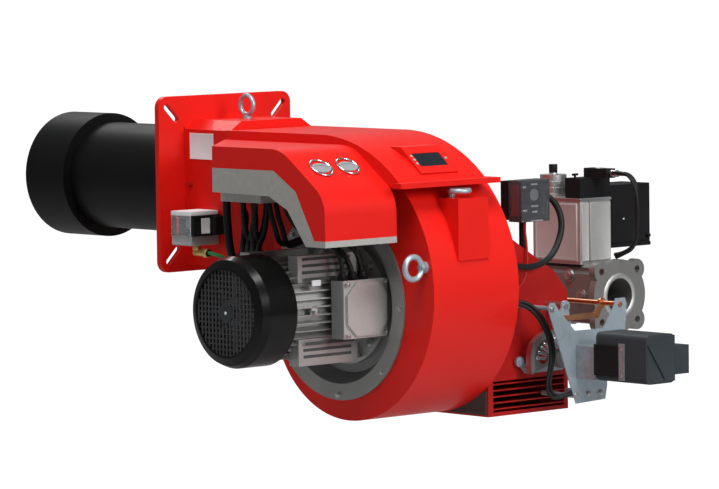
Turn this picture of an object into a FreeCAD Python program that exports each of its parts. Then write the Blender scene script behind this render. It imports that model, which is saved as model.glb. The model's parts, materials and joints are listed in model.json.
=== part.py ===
import FreeCAD, Part
import Sketcher
import math
import os
import re

# Monoblock gas burner, in millimetres. The origin is the centre of the mounting flange's front face,
# the flame leaves along -X, the fan motor lies on the -Y side and +Z is up.

Vector = FreeCAD.Vector
doc = FreeCAD.newDocument("gas_burner")
sizes = doc.addObject("Spreadsheet::Sheet", "sizes")

# Mounting flange, blast tube and flame cup
flange_sizes = {
    "flange_width": 440, "flange_thickness": 15, "flange_corner": 28,
    "slot_reach": 251.7, "slot_width": 17, "slot_length": 60,
    "tube_radius": 136.5, "tube_wall": 6, "tube_seat": 10,
    "cup_radius": 160, "cup_wall": 7, "cup_start": 441.6, "cup_end": 595, "cup_shoulder": 6,
}

# Combustion head inside the blast tube
head_sizes = {
    "lance_radius": 38, "lance_wall": 4, "lance_rear": 215, "lance_tip": 560,
    "disc_face": 545, "disc_thickness": 4, "disc_radius": 108, "disc_slots": 8,
    "disc_slot_width": 9, "disc_slot_inner": 58, "disc_slot_outer": 98,
    "electrode_ring": 50, "electrode_radius": 5, "electrode_length": 240, "wire_radius": 1.6,
    "sleeve_radius": 47, "sleeve_front": 90, "sleeve_rear": 235, "slide_gap": 0.3,
}

# Fan housing: scroll and outlet duct
housing_sizes = {
    "fan_x": 536, "fan_z": -274, "near_side": 95, "far_side": 188, "housing_wall": 5,
    "scroll_radius": 336, "scroll_growth": 0.00185, "scroll_start": -175,
    "duct_half": 136, "duct_bottom": 204, "duct_top": 160, "duct_chamfer": 36, "duct_shoulder": 23,
    "duct_block_end": 190, "transition_end": 300, "tongue_round": 22,
    "wheel_hole": 215, "inlet_hole": 158,
    "boss_x": 870, "boss_top": -12, "boss_near": -9, "boss_width": 100, "boss_foot": -172,
    "riser_x": 170,
}

# Top hood with its display wedge and rear lip
hood_sizes = {
    "hood_near": 150, "hood_far": 136, "hood_radius": 413, "hood_wall": 3, "hood_foot": 18,
    "hood_front": 192, "lip_x": 838, "lip_thickness": 13, "lip_far": 165, "lip_front": 730,
    "wedge_start_x": 688, "wedge_peak_x": 727, "wedge_peak_z": 110, "wedge_end_x": 799,
    "wedge_end_z": 49, "wedge_centre": 1, "wedge_width": 124,
    "display_width": 90, "display_height": 46, "display_depth": 5, "screen_width": 75,
    "screen_height": 37, "key_radius": 3.5, "key_pitch": 13, "key_offset": 52, "key_depth": 4,
}

# Electrical panel beside the hood
panel_sizes = {
    "panel_near": 380, "panel_far": 150, "panel_top": 117, "panel_bend_x": 650,
    "panel_knee_x": 804, "panel_knee_z": 5, "panel_rear_x": 805, "panel_foot": -96,
    "panel_bend_round": 110, "panel_knee_round": 80,
    "panel_seam": 65, "seam_bend_x": 624, "seam_knee_x": 702, "seam_knee_z": 18, "seam_foot_x": 766,
    "tray_bottom": 9, "tray_bend_x": 606, "tray_knee_x": 672, "tray_knee_z": -27, "tray_foot_x": 736,
    "tray_strip": 15, "panel_front_x": 402, "panel_corner_x": 187, "panel_wall": 3,
    "window_length": 50, "window_width": 26, "window_reach": 118, "window_pitch": 85,
    "device_floor": 3,
}

# Fan motor, measured along its shaft from the plane of the burner's centre line
motor_sizes = {
    "plate_radius": 237.4, "plate_face": 100.7, "plate_inner": 197, "dish_wall": 8, "dish_bottom": 50,
    "dish_floor": 10, "dish_bore": 58, "dish_radius": 172, "frame_core": 106, "frame_bore": 96, "fin_radius": 124,
    "fin_thickness": 3.2, "fin_count": 40, "frame_front": 100, "frame_rear": 352,
    "flange_radius": 150, "flange_plate": 16, "shield_thickness": 14, "bearing_radius": 40,
    "cowl_radius": 134.6, "cowl_front": 461.6, "cowl_rear": 350.3, "cowl_wall": 2.5, "cowl_round": 26,
    "grille_radius": 104, "grille_thickness": 3, "grille_pitch": 12.6, "grille_bar": 3.6,
    "grille_hub": 20, "foot_height": 132, "foot_reach": 70, "foot_width": 34, "foot_length": 190,
    "shaft_radius": 19, "rotor_radius": 70, "rotor_length": 200, "shaft_rear": 440,
    "cooling_radius": 108, "cooling_hub": 34, "cooling_blades": 8, "cooling_width": 34,
    "box_side": 140, "box_height": 40, "box_centre": 160, "lid_side": 128, "lid_height": 12,
    "lid_chamfer": 30,
}

# Impeller and the inlet cone that feeds it
wheel_sizes = {
    "wheel_radius": 205, "wheel_eye": 132, "wheel_width": 132, "wheel_disc": 4, "wheel_hub": 42,
    "wheel_blades": 11, "blade_thickness": 4, "wheel_back": 40, "hub_length": 60,
    "cone_throat": 122, "cone_wall": 3,
}

# Air inlet box with its rear slats and two damper blades
inlet_sizes = {
    "inlet_front": 330, "inlet_rear": 763, "inlet_side": 464, "inlet_bottom": 562, "inlet_wall": 3,
    "inlet_top": 105, "inlet_crown_y": 250, "inlet_crown_z": 115, "inlet_slope_y": 420,
    "inlet_slope_z": 218, "inlet_corner_z": 268,
    "intake_near": 205, "intake_far": 450, "intake_low": 552, "intake_high": 476, "slat_count": 5,
    "slat_depth": 14, "slat_thickness": 3,
    "blade_half": 56, "damper_pitch": 115, "blade_plate": 4, "damper_shaft": 8, "crank_radius": 32,
    "crank_plate": 6, "crank_gap": 7, "crank_pin": 4, "pin_gap": 0.3, "link_plate": 4, "link_half": 7,
}

# Servo drive, cam and gas linkage behind the inlet box
linkage_sizes = {
    "servo_y": 402, "servo_z": -432, "bracket_x": 880, "bracket_plate": 3,
    "gearbox_length": 66, "gearbox_near": 373, "gearbox_far": 455, "gearbox_top": -391,
    "gearbox_bottom": -472, "servo_length": 169, "servo_far": 475, "servo_top": -354,
    "servo_bottom": -474, "servo_round": 14, "tail_far": 530, "tail_length": 84,
    "cam_x": 800, "cam_width": 16, "cam_plate": 5, "strip_thickness": 3, "roller_radius": 11,
    "pivot_y": 398, "rod_y": 527, "rod_z": -300, "pivot_radius": 7, "lever_x": 818, "lever_plate": 6,
    "roller_arm": 58, "roller_start": 280, "arm_length": 36.4, "arm_start": 232.8,
    "follower_turn": 60, "cam_turn": 90, "rod_radius": 6, "cam_tail": 215, "cam_hub": 22,
    "cam_screws": 10, "lever_half": 9, "running_gap": 0.08, "post_radius": 8,
}

# Gas train on the far side
gas_sizes = {
    "gas_y": 700, "gas_z": -300, "gas_face": 715, "gas_bore": 44, "gas_disc": 92,
    "gas_flange": 20, "bolt_circle": 180, "bolt_hole": 9, "lobe_radius": 26,
    "pipe_radius": 46, "pipe_wall": 4, "pipe_bend": 115, "butterfly_radius": 66,
    "butterfly_width": 46, "butterfly_bore": 42, "butterfly_disc": 5,
    "valve_front": 490, "valve_half": 62, "valve_top": -222, "valve_bottom": -372,
    "coil_front": 465, "coil_rear": 637, "coil_near": 640, "coil_far": 750, "coil_top": -55,
    "cap_front": 583, "cap_top": -4, "cap_seam": 6, "regulator_x": 498, "regulator_radius": 34,
    "regulator_top": 0, "stub_radius": 10, "stub_top": 26,
    "prover_front": 500, "prover_rear": 600, "prover_near": 752, "prover_far": 930,
    "prover_top": -30, "prover_bottom": -190,
}

# Pressure switches, lifting eyes and cables
fitting_sizes = {
    "front_switch_x": 67, "front_switch_length": 100, "front_switch_near": 222,
    "front_switch_depth": 62, "front_switch_bottom": -149, "front_switch_top": -62,
    "rear_switch_x": 700, "rear_switch_depth": 70, "rear_switch_y": 344, "rear_switch_width": 90,
    "rear_switch_bottom": -86, "rear_switch_top": 10, "nipple_radius": 9,
    "eye_ring": 24, "eye_section": 6, "side_eye_ring": 27, "side_eye_section": 7,
    "top_eye_x": 98, "side_eye_x": 843, "side_eye_z": -172, "rear_eye_y": 2, "rear_eye_z": 5,
    "rear_eye_x": 838,
    "screw_ring": 224, "screw_count": 8, "screw_head": 6.5, "screw_height": 5,
    "bundle_diameter": 34, "cable_diameter": 11, "conduit_diameter": 15, "tube_diameter": 8,
}

row = 1
for group in (flange_sizes, head_sizes, housing_sizes, hood_sizes, panel_sizes, motor_sizes,
              wheel_sizes, inlet_sizes, linkage_sizes, gas_sizes, fitting_sizes):
    for alias, number in group.items():
        sizes.set("A%d" % row, alias)
        sizes.set("B%d" % row, str(number))
        sizes.setAlias("B%d" % row, alias)
        row += 1
doc.recompute()


def size(alias):
    return float(sizes.get(alias))


words = re.compile(r"[a-z][a-z0-9_]*[a-z0-9]")
aliases = set(sizes.get("A%d" % i) for i in range(1, row))


def rule(text):
    # names of the sheet written plainly become references to its cells
    return words.sub(lambda found: "sizes." + found.group() if found.group() in aliases else found.group(),
                     text)


parts_made = []
along_flame = FreeCAD.Rotation(Vector(0, 1, 0), -90)
along_motor = FreeCAD.Rotation(Vector(1, 0, 0), 90)


# Bodies whose sketches are bound to the sheet
def plane_of(body, role):
    for feature in body.Origin.OriginFeatures:
        if feature.Role == role:
            return feature
    raise ValueError(role)


def start_body(label, base=("0", "0", "0"), turn=None):
    body = doc.addObject("PartDesign::Body", label)
    body.Label = label
    body.Placement = FreeCAD.Placement(Vector(0, 0, 0), turn or FreeCAD.Rotation())
    for axis, place in zip("xyz", base):
        body.setExpression("Placement.Base." + axis, rule(place))
    parts_made.append(body)
    return body


def start_sketch(body, role, name, height=None):
    sketch = body.newObject("Sketcher::SketchObject", body.Label + "_" + name)
    sketch.AttachmentSupport = [(plane_of(body, role), "")]
    sketch.MapMode = "FlatFace"
    if height:
        sketch.setExpression("AttachmentOffset.Base.z", rule(height))
    return sketch


def bind(sketch, constraint, value):
    place = sketch.addConstraint(constraint)
    sketch.setExpression("Constraints[%d]" % place, rule(value))


def outline(sketch, corners):
    first = sketch.GeometryCount
    count = len(corners)
    ring = [Vector(40 * math.cos(2 * math.pi * i / count), 40 * math.sin(2 * math.pi * i / count), 0)
            for i in range(count)]
    for i in range(count):
        sketch.addGeometry(Part.LineSegment(ring[i], ring[(i + 1) % count]), False)
    for i in range(count):
        follow = first + (i + 1) % count
        sketch.addConstraint(Sketcher.Constraint("Coincident", first + i, 2, follow, 1))
    for i, (across, up) in enumerate(corners):
        bind(sketch, Sketcher.Constraint("DistanceX", -1, 1, first + i, 1, ring[i].x), across)
        bind(sketch, Sketcher.Constraint("DistanceY", -1, 1, first + i, 1, ring[i].y), up)


def circle(sketch, across, up, radius):
    place = sketch.addGeometry(Part.Circle(Vector(11, 7, 0), Vector(0, 0, 1), 5), False)
    bind(sketch, Sketcher.Constraint("Radius", place, 5), radius)
    bind(sketch, Sketcher.Constraint("DistanceX", -1, 1, place, 3, 11), across)
    bind(sketch, Sketcher.Constraint("DistanceY", -1, 1, place, 3, 7), up)


def pad(body, sketch, length, reversed_side=False):
    feature = body.newObject("PartDesign::Pad", sketch.Name + "_pad")
    feature.Profile = sketch
    feature.setExpression("Length", rule(length))
    feature.Reversed = reversed_side
    sketch.Visibility = False
    return feature


def pocket(body, sketch, length, reversed_side=False):
    feature = body.newObject("PartDesign::Pocket", sketch.Name + "_pocket")
    feature.Profile = sketch
    feature.setExpression("Length", rule(length))
    feature.Reversed = reversed_side
    return feature


def revolve(body, sketch):
    feature = body.newObject("PartDesign::Revolution", sketch.Name + "_turn")
    feature.Profile = sketch
    feature.ReferenceAxis = (sketch, ["V_Axis"])
    feature.Angle = 360
    return feature


def around(body, feature, sketch, count):
    pattern = body.newObject("PartDesign::PolarPattern", feature.Name + "_ring")
    pattern.Originals = [feature]
    pattern.Axis = (sketch, ["N_Axis"])
    pattern.Angle = 360
    pattern.setExpression("Occurrences", rule(count))
    body.Tip = pattern
    return pattern


def turned(label, corners, base=("0", "0", "0"), turn=None):
    body = start_body(label, base, turn)
    sketch = start_sketch(body, "XZ_Plane", "profile")
    outline(sketch, corners)
    revolve(body, sketch)
    return body


# Blocks and rods bound to the sheet, joined and cut
def bound_block(name, x, y, z):
    solid = doc.addObject("Part::Box", name)
    for axis, side, (low, high) in zip("xyz", ("Length", "Width", "Height"), (x, y, z)):
        solid.setExpression("Placement.Base." + axis, rule(low))
        solid.setExpression(side, rule("(%s) - (%s)" % (high, low)))
    return solid


turns = {
    "x": FreeCAD.Rotation(Vector(0, 1, 0), 90),
    "y": FreeCAD.Rotation(Vector(1, 0, 0), -90),
    "z": FreeCAD.Rotation(),
}


def bound_rod(name, along, radius, low, high, across):
    # a round bar along one axis, from low to high, at the other two places
    solid = doc.addObject("Part::Cylinder", name)
    solid.Placement = FreeCAD.Placement(Vector(0, 0, 0), turns[along])
    places = dict(zip([axis for axis in "xyz" if axis != along], across))
    places[along] = low
    for axis, place in places.items():
        solid.setExpression("Placement.Base." + axis, rule(place))
    solid.setExpression("Radius", rule(radius))
    solid.setExpression("Height", rule("(%s) - (%s)" % (high, low)))
    return solid


def joined(name, pieces, label=True):
    solid = doc.addObject("Part::MultiFuse", name)
    solid.Shapes = pieces
    solid.Refine = True
    if label:
        solid.Label = name
        parts_made.append(solid)
    return solid


def cut_from(name, base, tool, label=True):
    solid = doc.addObject("Part::Cut", name)
    solid.Base = base
    solid.Tool = tool
    solid.Refine = True
    if label:
        solid.Label = name
        parts_made.append(solid)
    return solid


def together(name, pieces):
    # loose pieces of one kind kept as separate solids
    group = doc.addObject("Part::Compound", name)
    group.Links = pieces
    group.Label = name
    parts_made.append(group)
    return group


# Shapes made from values of the sheet
def keep(label, shape):
    piece = doc.addObject("Part::Feature", label)
    piece.Label = label
    piece.Shape = shape
    parts_made.append(piece)
    return piece


def block(x0, x1, y0, y1, z0, z1):
    return Part.makeBox(x1 - x0, y1 - y0, z1 - z0, Vector(x0, y0, z0))


def rod_x(radius, x0, x1, y, z):
    return Part.makeCylinder(radius, x1 - x0, Vector(x0, y, z), Vector(1, 0, 0))


def rod_y(radius, x, y0, y1, z):
    return Part.makeCylinder(radius, y1 - y0, Vector(x, y0, z), Vector(0, 1, 0))


def rod_z(radius, x, y, z0, z1):
    return Part.makeCylinder(radius, z1 - z0, Vector(x, y, z0), Vector(0, 0, 1))


def fused(shapes):
    return shapes[0].multiFuse(list(shapes[1:])).removeSplitter()


def rounded_edges(points, radii):
    # straight edges with tangent arcs at the corners that have a radius
    edges = []
    last = points[0]
    for i in range(1, len(points) - 1):
        before = (points[i - 1] - points[i]).normalize()
        after = (points[i + 1] - points[i]).normalize()
        if radii[i] <= 0:
            edges.append(Part.LineSegment(last, points[i]).toShape())
            last = points[i]
            continue
        half = before.getAngle(after) / 2
        reach = radii[i] / math.tan(half)
        centre = points[i] + (before + after).normalize() * (radii[i] / math.sin(half))
        start = points[i] + before * reach
        end = points[i] + after * reach
        middle = centre + (points[i] - centre).normalize() * radii[i]
        edges.append(Part.LineSegment(last, start).toShape())
        edges.append(Part.Arc(start, middle, end).toShape())
        last = end
    edges.append(Part.LineSegment(last, points[-1]).toShape())
    return edges


def prism_y(edges, y0, y1):
    face = Part.Face(Part.Wire(edges))
    solid = face.extrude(Vector(0, y1 - y0, 0))
    solid.translate(Vector(0, y0, 0))
    return solid


def prism_x(points, x0, x1):
    loop = [Vector(x0, y, z) for y, z in points]
    face = Part.Face(Part.makePolygon(loop + [loop[0]]))
    return face.extrude(Vector(x1 - x0, 0, 0))


def swept(path_edges, radius, start, direction):
    ring = Part.Wire(Part.makeCircle(radius, start, direction))
    return Part.Wire(path_edges).makePipeShell([ring], True, False)


# Mounting flange with four radial slots on its diagonals
flange = start_body("mounting_flange", turn=along_flame)
plate_sketch = start_sketch(flange, "XY_Plane", "plate")
half = "flange_width / 2"
outline(plate_sketch, [("-" + half, "-" + half), (half, "-" + half), (half, half), ("-" + half, half)])
circle(plate_sketch, "0", "0", "tube_radius + slide_gap")
pad(flange, plate_sketch, "flange_thickness", True)
doc.recompute()
slot_sketch = start_sketch(flange, "XY_Plane", "slot")
near_end = "(slot_reach - slot_length / 2)"
far_end = "(slot_reach + slot_length / 2)"
side = "slot_width / 2"
outline(slot_sketch, [("(%s + %s) * sqrt(0.5)" % (a, b), "(%s - %s) * sqrt(0.5)" % (a, b))
                      for a, b in ((near_end, side), (far_end, side), (far_end, "(-%s)" % side),
                                   (near_end, "(-%s)" % side))])
slot_pocket = pocket(flange, slot_sketch, "flange_thickness * 2", False)
slot_pocket.Midplane = True
around(flange, slot_pocket, slot_sketch, "4")
doc.recompute()
corner_edges = []
for number, edge in enumerate(flange.Tip.Shape.Edges, 1):
    straight = edge.Curve.TypeId == "Part::GeomLine"
    if straight and abs(edge.tangentAt(edge.FirstParameter).z) > 0.99:
        spot = edge.valueAt(edge.FirstParameter)
        reach = math.hypot(spot.x, spot.y)
        if reach > size("flange_width") * 0.7:
            corner_edges.append("Edge%d" % number)
tip = flange.Tip
corner_round = flange.newObject("PartDesign::Fillet", "flange_corners")
corner_round.Base = (tip, corner_edges)
corner_round.setExpression("Radius", rule("flange_corner"))
doc.recompute()
slot_edges = []
for number, edge in enumerate(corner_round.Shape.Edges, 1):
    straight = edge.Curve.TypeId == "Part::GeomLine"
    if straight and abs(edge.tangentAt(edge.FirstParameter).z) > 0.99:
        spot = edge.valueAt(edge.FirstParameter)
        off = abs(abs(spot.x) - abs(spot.y)) / math.sqrt(2)
        if abs(off - size("slot_width") / 2) < 0.1 or off < size("slot_width") / 2 + 0.1:
            slot_edges.append("Edge%d" % number)
slot_round = flange.newObject("PartDesign::Fillet", "flange_slot_ends")
slot_round.Base = (corner_round, slot_edges)
slot_round.setExpression("Radius", rule("slot_width / 2 - 0.1"))

# Blast tube with the wider flame cup on its end
turned("blast_tube", [("tube_radius - tube_wall", "-tube_seat"), ("tube_radius", "-tube_seat"),
                      ("tube_radius", "cup_start + cup_shoulder + 14"),
                      ("tube_radius - tube_wall", "cup_start + cup_shoulder + 14")], turn=along_flame)
turned("flame_cup", [("tube_radius", "cup_start"), ("cup_radius", "cup_start"), ("cup_radius", "cup_end"),
                     ("cup_radius - cup_wall", "cup_end"),
                     ("cup_radius - cup_wall", "cup_start + cup_shoulder"),
                     ("tube_radius", "cup_start + cup_shoulder")], turn=along_flame)

# Gas lance with eight nozzle arms, sliding in the sleeve of the riser
head_x = FreeCAD.Placement(Vector(0, 0, 0), along_flame)
lance = size("lance_radius")
bore = lance - size("lance_wall")
rear = -size("lance_rear")
tip_z = size("lance_tip")
tube = Part.makeCylinder(lance, tip_z - rear, Vector(0, 0, rear))
tube = tube.cut(Part.makeCylinder(bore, tip_z - rear - 6, Vector(0, 0, rear - 1)))
arms = []
for i in range(8):
    turn = FreeCAD.Rotation(Vector(0, 0, 1), 45 * i)
    foot = Vector(bore + 1, 0, size("disc_face") - 22)
    arm = Part.makeCylinder(5, size("disc_radius") + 8 - bore, foot, Vector(1, 0, 0))
    head = Part.makeCylinder(5, 36, foot + Vector(size("disc_radius") + 8 - bore, 0, -5))
    piece = arm.fuse(head)
    piece.Placement = FreeCAD.Placement(Vector(0, 0, 0), turn)
    arms.append(piece)
clamp = Part.makeCylinder(62, 12, Vector(0, 0, 330)).cut(Part.makeCylinder(lance - 1, 12, Vector(0, 0, 330)))
rods = []
for angle in (20, 340, 180):
    turn = FreeCAD.Rotation(Vector(0, 0, 1), angle)
    rod = Part.makeCylinder(size("electrode_radius"), size("electrode_length"),
                            Vector(size("electrode_ring"), 0, size("disc_face") - 228))
    wire = Part.makeCylinder(size("wire_radius"), 24, Vector(size("electrode_ring"), 0,
                                                             size("disc_face") + 10))
    rod = rod.fuse(wire)
    rod.Placement = FreeCAD.Placement(Vector(0, 0, 0), turn)
    rods.append(rod)
gas_port = Part.makeBox(lance + 5, 56, 100, Vector(-lance - 5, -28, -size("riser_x") - 35))
lance_shape = fused([tube, clamp] + arms).cut(gas_port)
lance_shape = lance_shape.cut(Part.makeCompound(rods))
lance_piece = keep("gas_lance", lance_shape)
lance_piece.Placement = head_x
disc = Part.makeCylinder(size("disc_radius"), size("disc_thickness"), Vector(0, 0, size("disc_face")))
disc = disc.cut(Part.makeCylinder(lance, 40, Vector(0, 0, size("disc_face") - 10)))
slots = []
for i in range(int(size("disc_slots"))):
    slot = Part.makeBox(size("disc_slot_outer") - size("disc_slot_inner"), size("disc_slot_width"), 20,
                        Vector(size("disc_slot_inner"), -size("disc_slot_width") / 2,
                               size("disc_face") - 8))
    slot.Placement = FreeCAD.Placement(Vector(0, 0, 0), FreeCAD.Rotation(Vector(0, 0, 1), 45 * i))
    slots.append(slot)
disc_piece = keep("diffuser_disc", disc.cut(Part.makeCompound(slots + rods)))
disc_piece.Placement = head_x
rods_piece = keep("ignition_rods", Part.makeCompound(rods))
rods_piece.Placement = head_x

# Fan housing: a scroll opening into a square duct that ends on the flange
fan_x = size("fan_x")
fan_z = size("fan_z")
wall = size("housing_wall")
near = -size("near_side")
far = size("far_side")


def spiral(angle, inset=0):
    radius = size("scroll_radius") * math.exp(size("scroll_growth") * angle) - inset
    turn = math.radians(angle)
    return Vector(fan_x + radius * math.cos(turn), 0, fan_z + radius * math.sin(turn))


def scroll_outline(inset):
    curve = Part.BSplineCurve()
    curve.interpolate([spiral(angle, inset) for angle in range(int(size("scroll_start")), 91, 15)])
    edge = curve.toShape()
    start = edge.valueAt(edge.FirstParameter)
    end = edge.valueAt(edge.LastParameter)
    front = size("transition_end")
    corner = [end, Vector(front, 0, end.z + 12), Vector(front, 0, -size("duct_bottom") + inset),
              Vector(start.x, 0, start.z)]
    sides = [Part.LineSegment(corner[i], corner[i + 1]).toShape() for i in range(3)]
    return [edge] + sides


def duct_section(x, left, right, inset, shoulder):
    bottom = -size("duct_bottom") + inset
    side_top = size("duct_top") - size("duct_shoulder") * shoulder - inset * 0.6
    top = size("duct_top") - inset - (1 - shoulder) * 24
    chamfer = size("duct_chamfer")
    loop = [(left + inset, bottom), (right - inset, bottom), (right - inset, side_top),
            (right - inset - chamfer, top), (left + inset + chamfer, top), (left + inset, side_top)]
    return [Vector(x, y, z) for y, z in loop]


def duct(inset):
    half_width = size("duct_half")
    front = size("flange_thickness")
    stop = size("duct_block_end") - inset
    end = size("transition_end") + (2 if inset else 0)
    first = duct_section(front - (1 if inset else 0), -half_width, half_width, inset, 1)
    middle = duct_section(stop, -half_width, half_width, inset, 1)
    straight = Part.makeLoft([Part.makePolygon(ring + [ring[0]]) for ring in (first, middle)], True, True)
    lead = duct_section(end, near, far, inset, 1)
    lead = [Vector(p.x, p.y, min(p.z, 132 - inset - (2 if 3 <= i <= 4 else 4))) for i, p in enumerate(lead)]
    low = [Vector(p.x, p.y, min(p.z, 134 - inset - (0 if 3 <= i <= 4 else 2))) for i, p in enumerate(middle)]
    loft = Part.makeLoft([Part.makePolygon(ring + [ring[0]]) for ring in (low, lead)], True, True)
    return straight.fuse(loft)


outer = prism_y(scroll_outline(0), near, far).fuse(duct(0))
inner = prism_y(scroll_outline(wall), near + wall, far - wall).fuse(duct(wall))
boss = block(size("boss_x") - 75, size("boss_x"), size("boss_near"), size("boss_near") + size("boss_width"),
             size("boss_foot"), size("boss_top"))
boss_taper = Part.Face(Part.makePolygon([
    Vector(size("boss_x"), 0, size("boss_top")), Vector(size("boss_x"), 0, size("boss_foot") + 12),
    Vector(size("boss_x") - 60, 0, size("boss_foot") - 40), Vector(size("boss_x") - 120, 0, -60),
    Vector(size("boss_x") - 120, 0, size("boss_top")), Vector(size("boss_x"), 0, size("boss_top"))]))
boss = boss_taper.extrude(Vector(0, size("boss_width"), 0))
boss.translate(Vector(0, size("boss_near"), 0))
outer = outer.fuse(boss).removeSplitter()
housing = outer.cut(inner)
housing = housing.cut(rod_y(size("wheel_hole"), fan_x, near - 10, near + 20, fan_z))
housing = housing.cut(rod_y(size("inlet_hole"), fan_x, far - 20, far + 10, fan_z))
riser_x = size("riser_x")
housing = housing.cut(rod_z(size("pipe_radius"), riser_x, 0, -size("duct_bottom") - 20,
                            -size("duct_bottom") + 20))
keep("fan_housing", housing)

# Top hood, open below, with the sloping display wedge and the rear lip
hood_radius = size("hood_radius")
hood_wall = size("hood_wall")


def hood_prism(inset, y0, y1, foot):
    radius = hood_radius - inset
    front = size("hood_front") + inset
    low = foot
    end_x = fan_x + math.sqrt(radius ** 2 - (low - fan_z) ** 2)
    bend = math.radians(60)
    middle = Vector(fan_x + radius * math.cos(bend), 0, fan_z + radius * math.sin(bend))
    top = Vector(fan_x, 0, fan_z + radius)
    end = Vector(end_x, 0, low)
    edges = [Part.LineSegment(Vector(front, 0, low), Vector(front, 0, top.z)).toShape(),
             Part.LineSegment(Vector(front, 0, top.z), top).toShape(),
             Part.Arc(top, middle, end).toShape(),
             Part.LineSegment(end, Vector(front, 0, low)).toShape()]
    return prism_y(edges, y0, y1)


hood_near = -size("hood_near")
hood_far = size("hood_far")
foot = size("hood_foot")
hood = hood_prism(0, hood_near, hood_far, foot)
wedge_near = size("wedge_centre") - size("wedge_width") / 2
wedge_far = wedge_near + size("wedge_width")
peak = Vector(size("wedge_peak_x"), 0, size("wedge_peak_z"))
toe = Vector(size("wedge_end_x"), 0, size("wedge_end_z"))
wedge_face = Part.Face(Part.makePolygon([
    Vector(size("wedge_start_x"), 0, peak.z), peak, toe, Vector(toe.x - 30, 0, toe.z - 8),
    Vector(size("wedge_start_x") - 20, 0, peak.z - 50), Vector(size("wedge_start_x"), 0, peak.z)]))
wedge = wedge_face.extrude(Vector(0, size("wedge_width"), 0))
wedge.translate(Vector(0, wedge_near, 0))
lip_low = foot
lip = block(size("lip_front"), size("lip_x"), -size("lip_far"), size("lip_far"), lip_low,
            lip_low + size("lip_thickness"))
hood_inner = hood_prism(hood_wall, hood_near + hood_wall, hood_far - hood_wall, foot - 1)
hood = hood.fuse([wedge, lip]).cut(hood_inner)
slope = math.degrees(math.atan2(peak.z - toe.z, toe.x - peak.x))
display_turn = FreeCAD.Rotation(Vector(0, 1, 0), slope)
display_middle = (peak + toe) * 0.5 + Vector(0, size("wedge_centre"), 0)


def on_display(shape, across, up):
    # local X runs down the slope, Y across, Z out of the face
    shape.Placement = FreeCAD.Placement(display_middle, display_turn).multiply(
        FreeCAD.Placement(Vector(up, across, 0), FreeCAD.Rotation()))
    return shape


width = size("display_width")
height = size("display_height")
depth = size("display_depth")
recess = on_display(Part.makeBox(height, width, depth + 20, Vector(-height / 2, -width / 2, -depth)), 0, 0)
hood = hood.cut(recess)
key_places = [(-size("key_offset"), -size("key_pitch")), (-size("key_offset"), 0),
              (-size("key_offset"), size("key_pitch")), (size("key_offset"), 0)]
key_holes = [on_display(Part.makeCylinder(size("key_radius") + size("slide_gap"), size("key_depth") + 20,
                                          Vector(0, 0, -size("key_depth"))), across, up)
             for across, up in key_places]
hood = hood.cut(Part.makeCompound(key_holes))
housing_room = prism_y(scroll_outline(-0.3), near - 0.3, far + 0.3).fuse(duct(-0.3))
hood = hood.cut(housing_room)
hood = max(hood.Solids, key=lambda solid: solid.Volume)
panel_gap = block(0, size("panel_rear_x") + 5, hood_near - 20, hood_near, -200, 200)
keep("top_hood", hood.cut(panel_gap.common(block(0, 1000, -400, hood_near, -200, foot + 20))))
screen = Part.makeBox(height - 0.6, width - 0.6, depth - 1, Vector(-height / 2 + 0.3, -width / 2 + 0.3,
                                                                 -depth))
keep("display_screen", on_display(screen, 0, 0))
for name, (across, up) in zip(("key_upper", "key_middle", "key_lower", "key_right"), key_places):
    key = Part.makeCylinder(size("key_radius"), size("key_depth") - 0.5, Vector(0, 0, -1.5))
    keep(name, on_display(key, across, up))

# Electrical panel: grey tray and red cover, both cut along a diagonal at the front
panel_near = -size("panel_near")
panel_far = -size("panel_far")
front_x = size("panel_corner_x")
foot_z = size("panel_foot")
cut_slope = (size("panel_front_x") - front_x) / (panel_far - panel_near)


def diagonal(inset):
    points = [Vector(0, panel_far + 50, -300), Vector(front_x + inset - 50 * cut_slope, panel_far + 50, -300),
              Vector(size("panel_front_x") + inset + 60 * cut_slope, panel_near - 60, -300),
              Vector(0, panel_near - 60, -300), Vector(0, panel_far + 50, -300)]
    return Part.Face(Part.makePolygon(points)).extrude(Vector(0, 0, 600))


def cover_prism(inset, y0, y1, drop):
    points = [Vector(front_x - 20, 0, size("panel_seam") - drop),
              Vector(front_x - 20, 0, size("panel_top") - inset),
              Vector(size("panel_bend_x") - inset * 0.4, 0, size("panel_top") - inset),
              Vector(size("panel_knee_x") - inset, 0, size("panel_knee_z") - inset * 0.4),
              Vector(size("panel_rear_x") - inset, 0, foot_z - drop),
              Vector(size("seam_foot_x"), 0, foot_z - drop),
              Vector(size("seam_knee_x"), 0, size("seam_knee_z") - drop),
              Vector(size("seam_bend_x"), 0, size("panel_seam") - drop),
              Vector(front_x - 20, 0, size("panel_seam") - drop)]
    radii = [0, 0, size("panel_bend_round") - inset, size("panel_knee_round") - inset, 0, 0, 0, 0, 0]
    return prism_y(rounded_edges(points, radii), y0, y1)


panel_wall = size("panel_wall")
cover = cover_prism(0, panel_near, panel_far, 0).cut(diagonal(0))
cover_room = cover_prism(panel_wall, panel_near + panel_wall, panel_far - panel_wall, 6).cut(
    diagonal(panel_wall * 1.4))
cover = cover.cut(cover_room)
cover = max(cover.Solids, key=lambda solid: solid.Volume)


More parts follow.
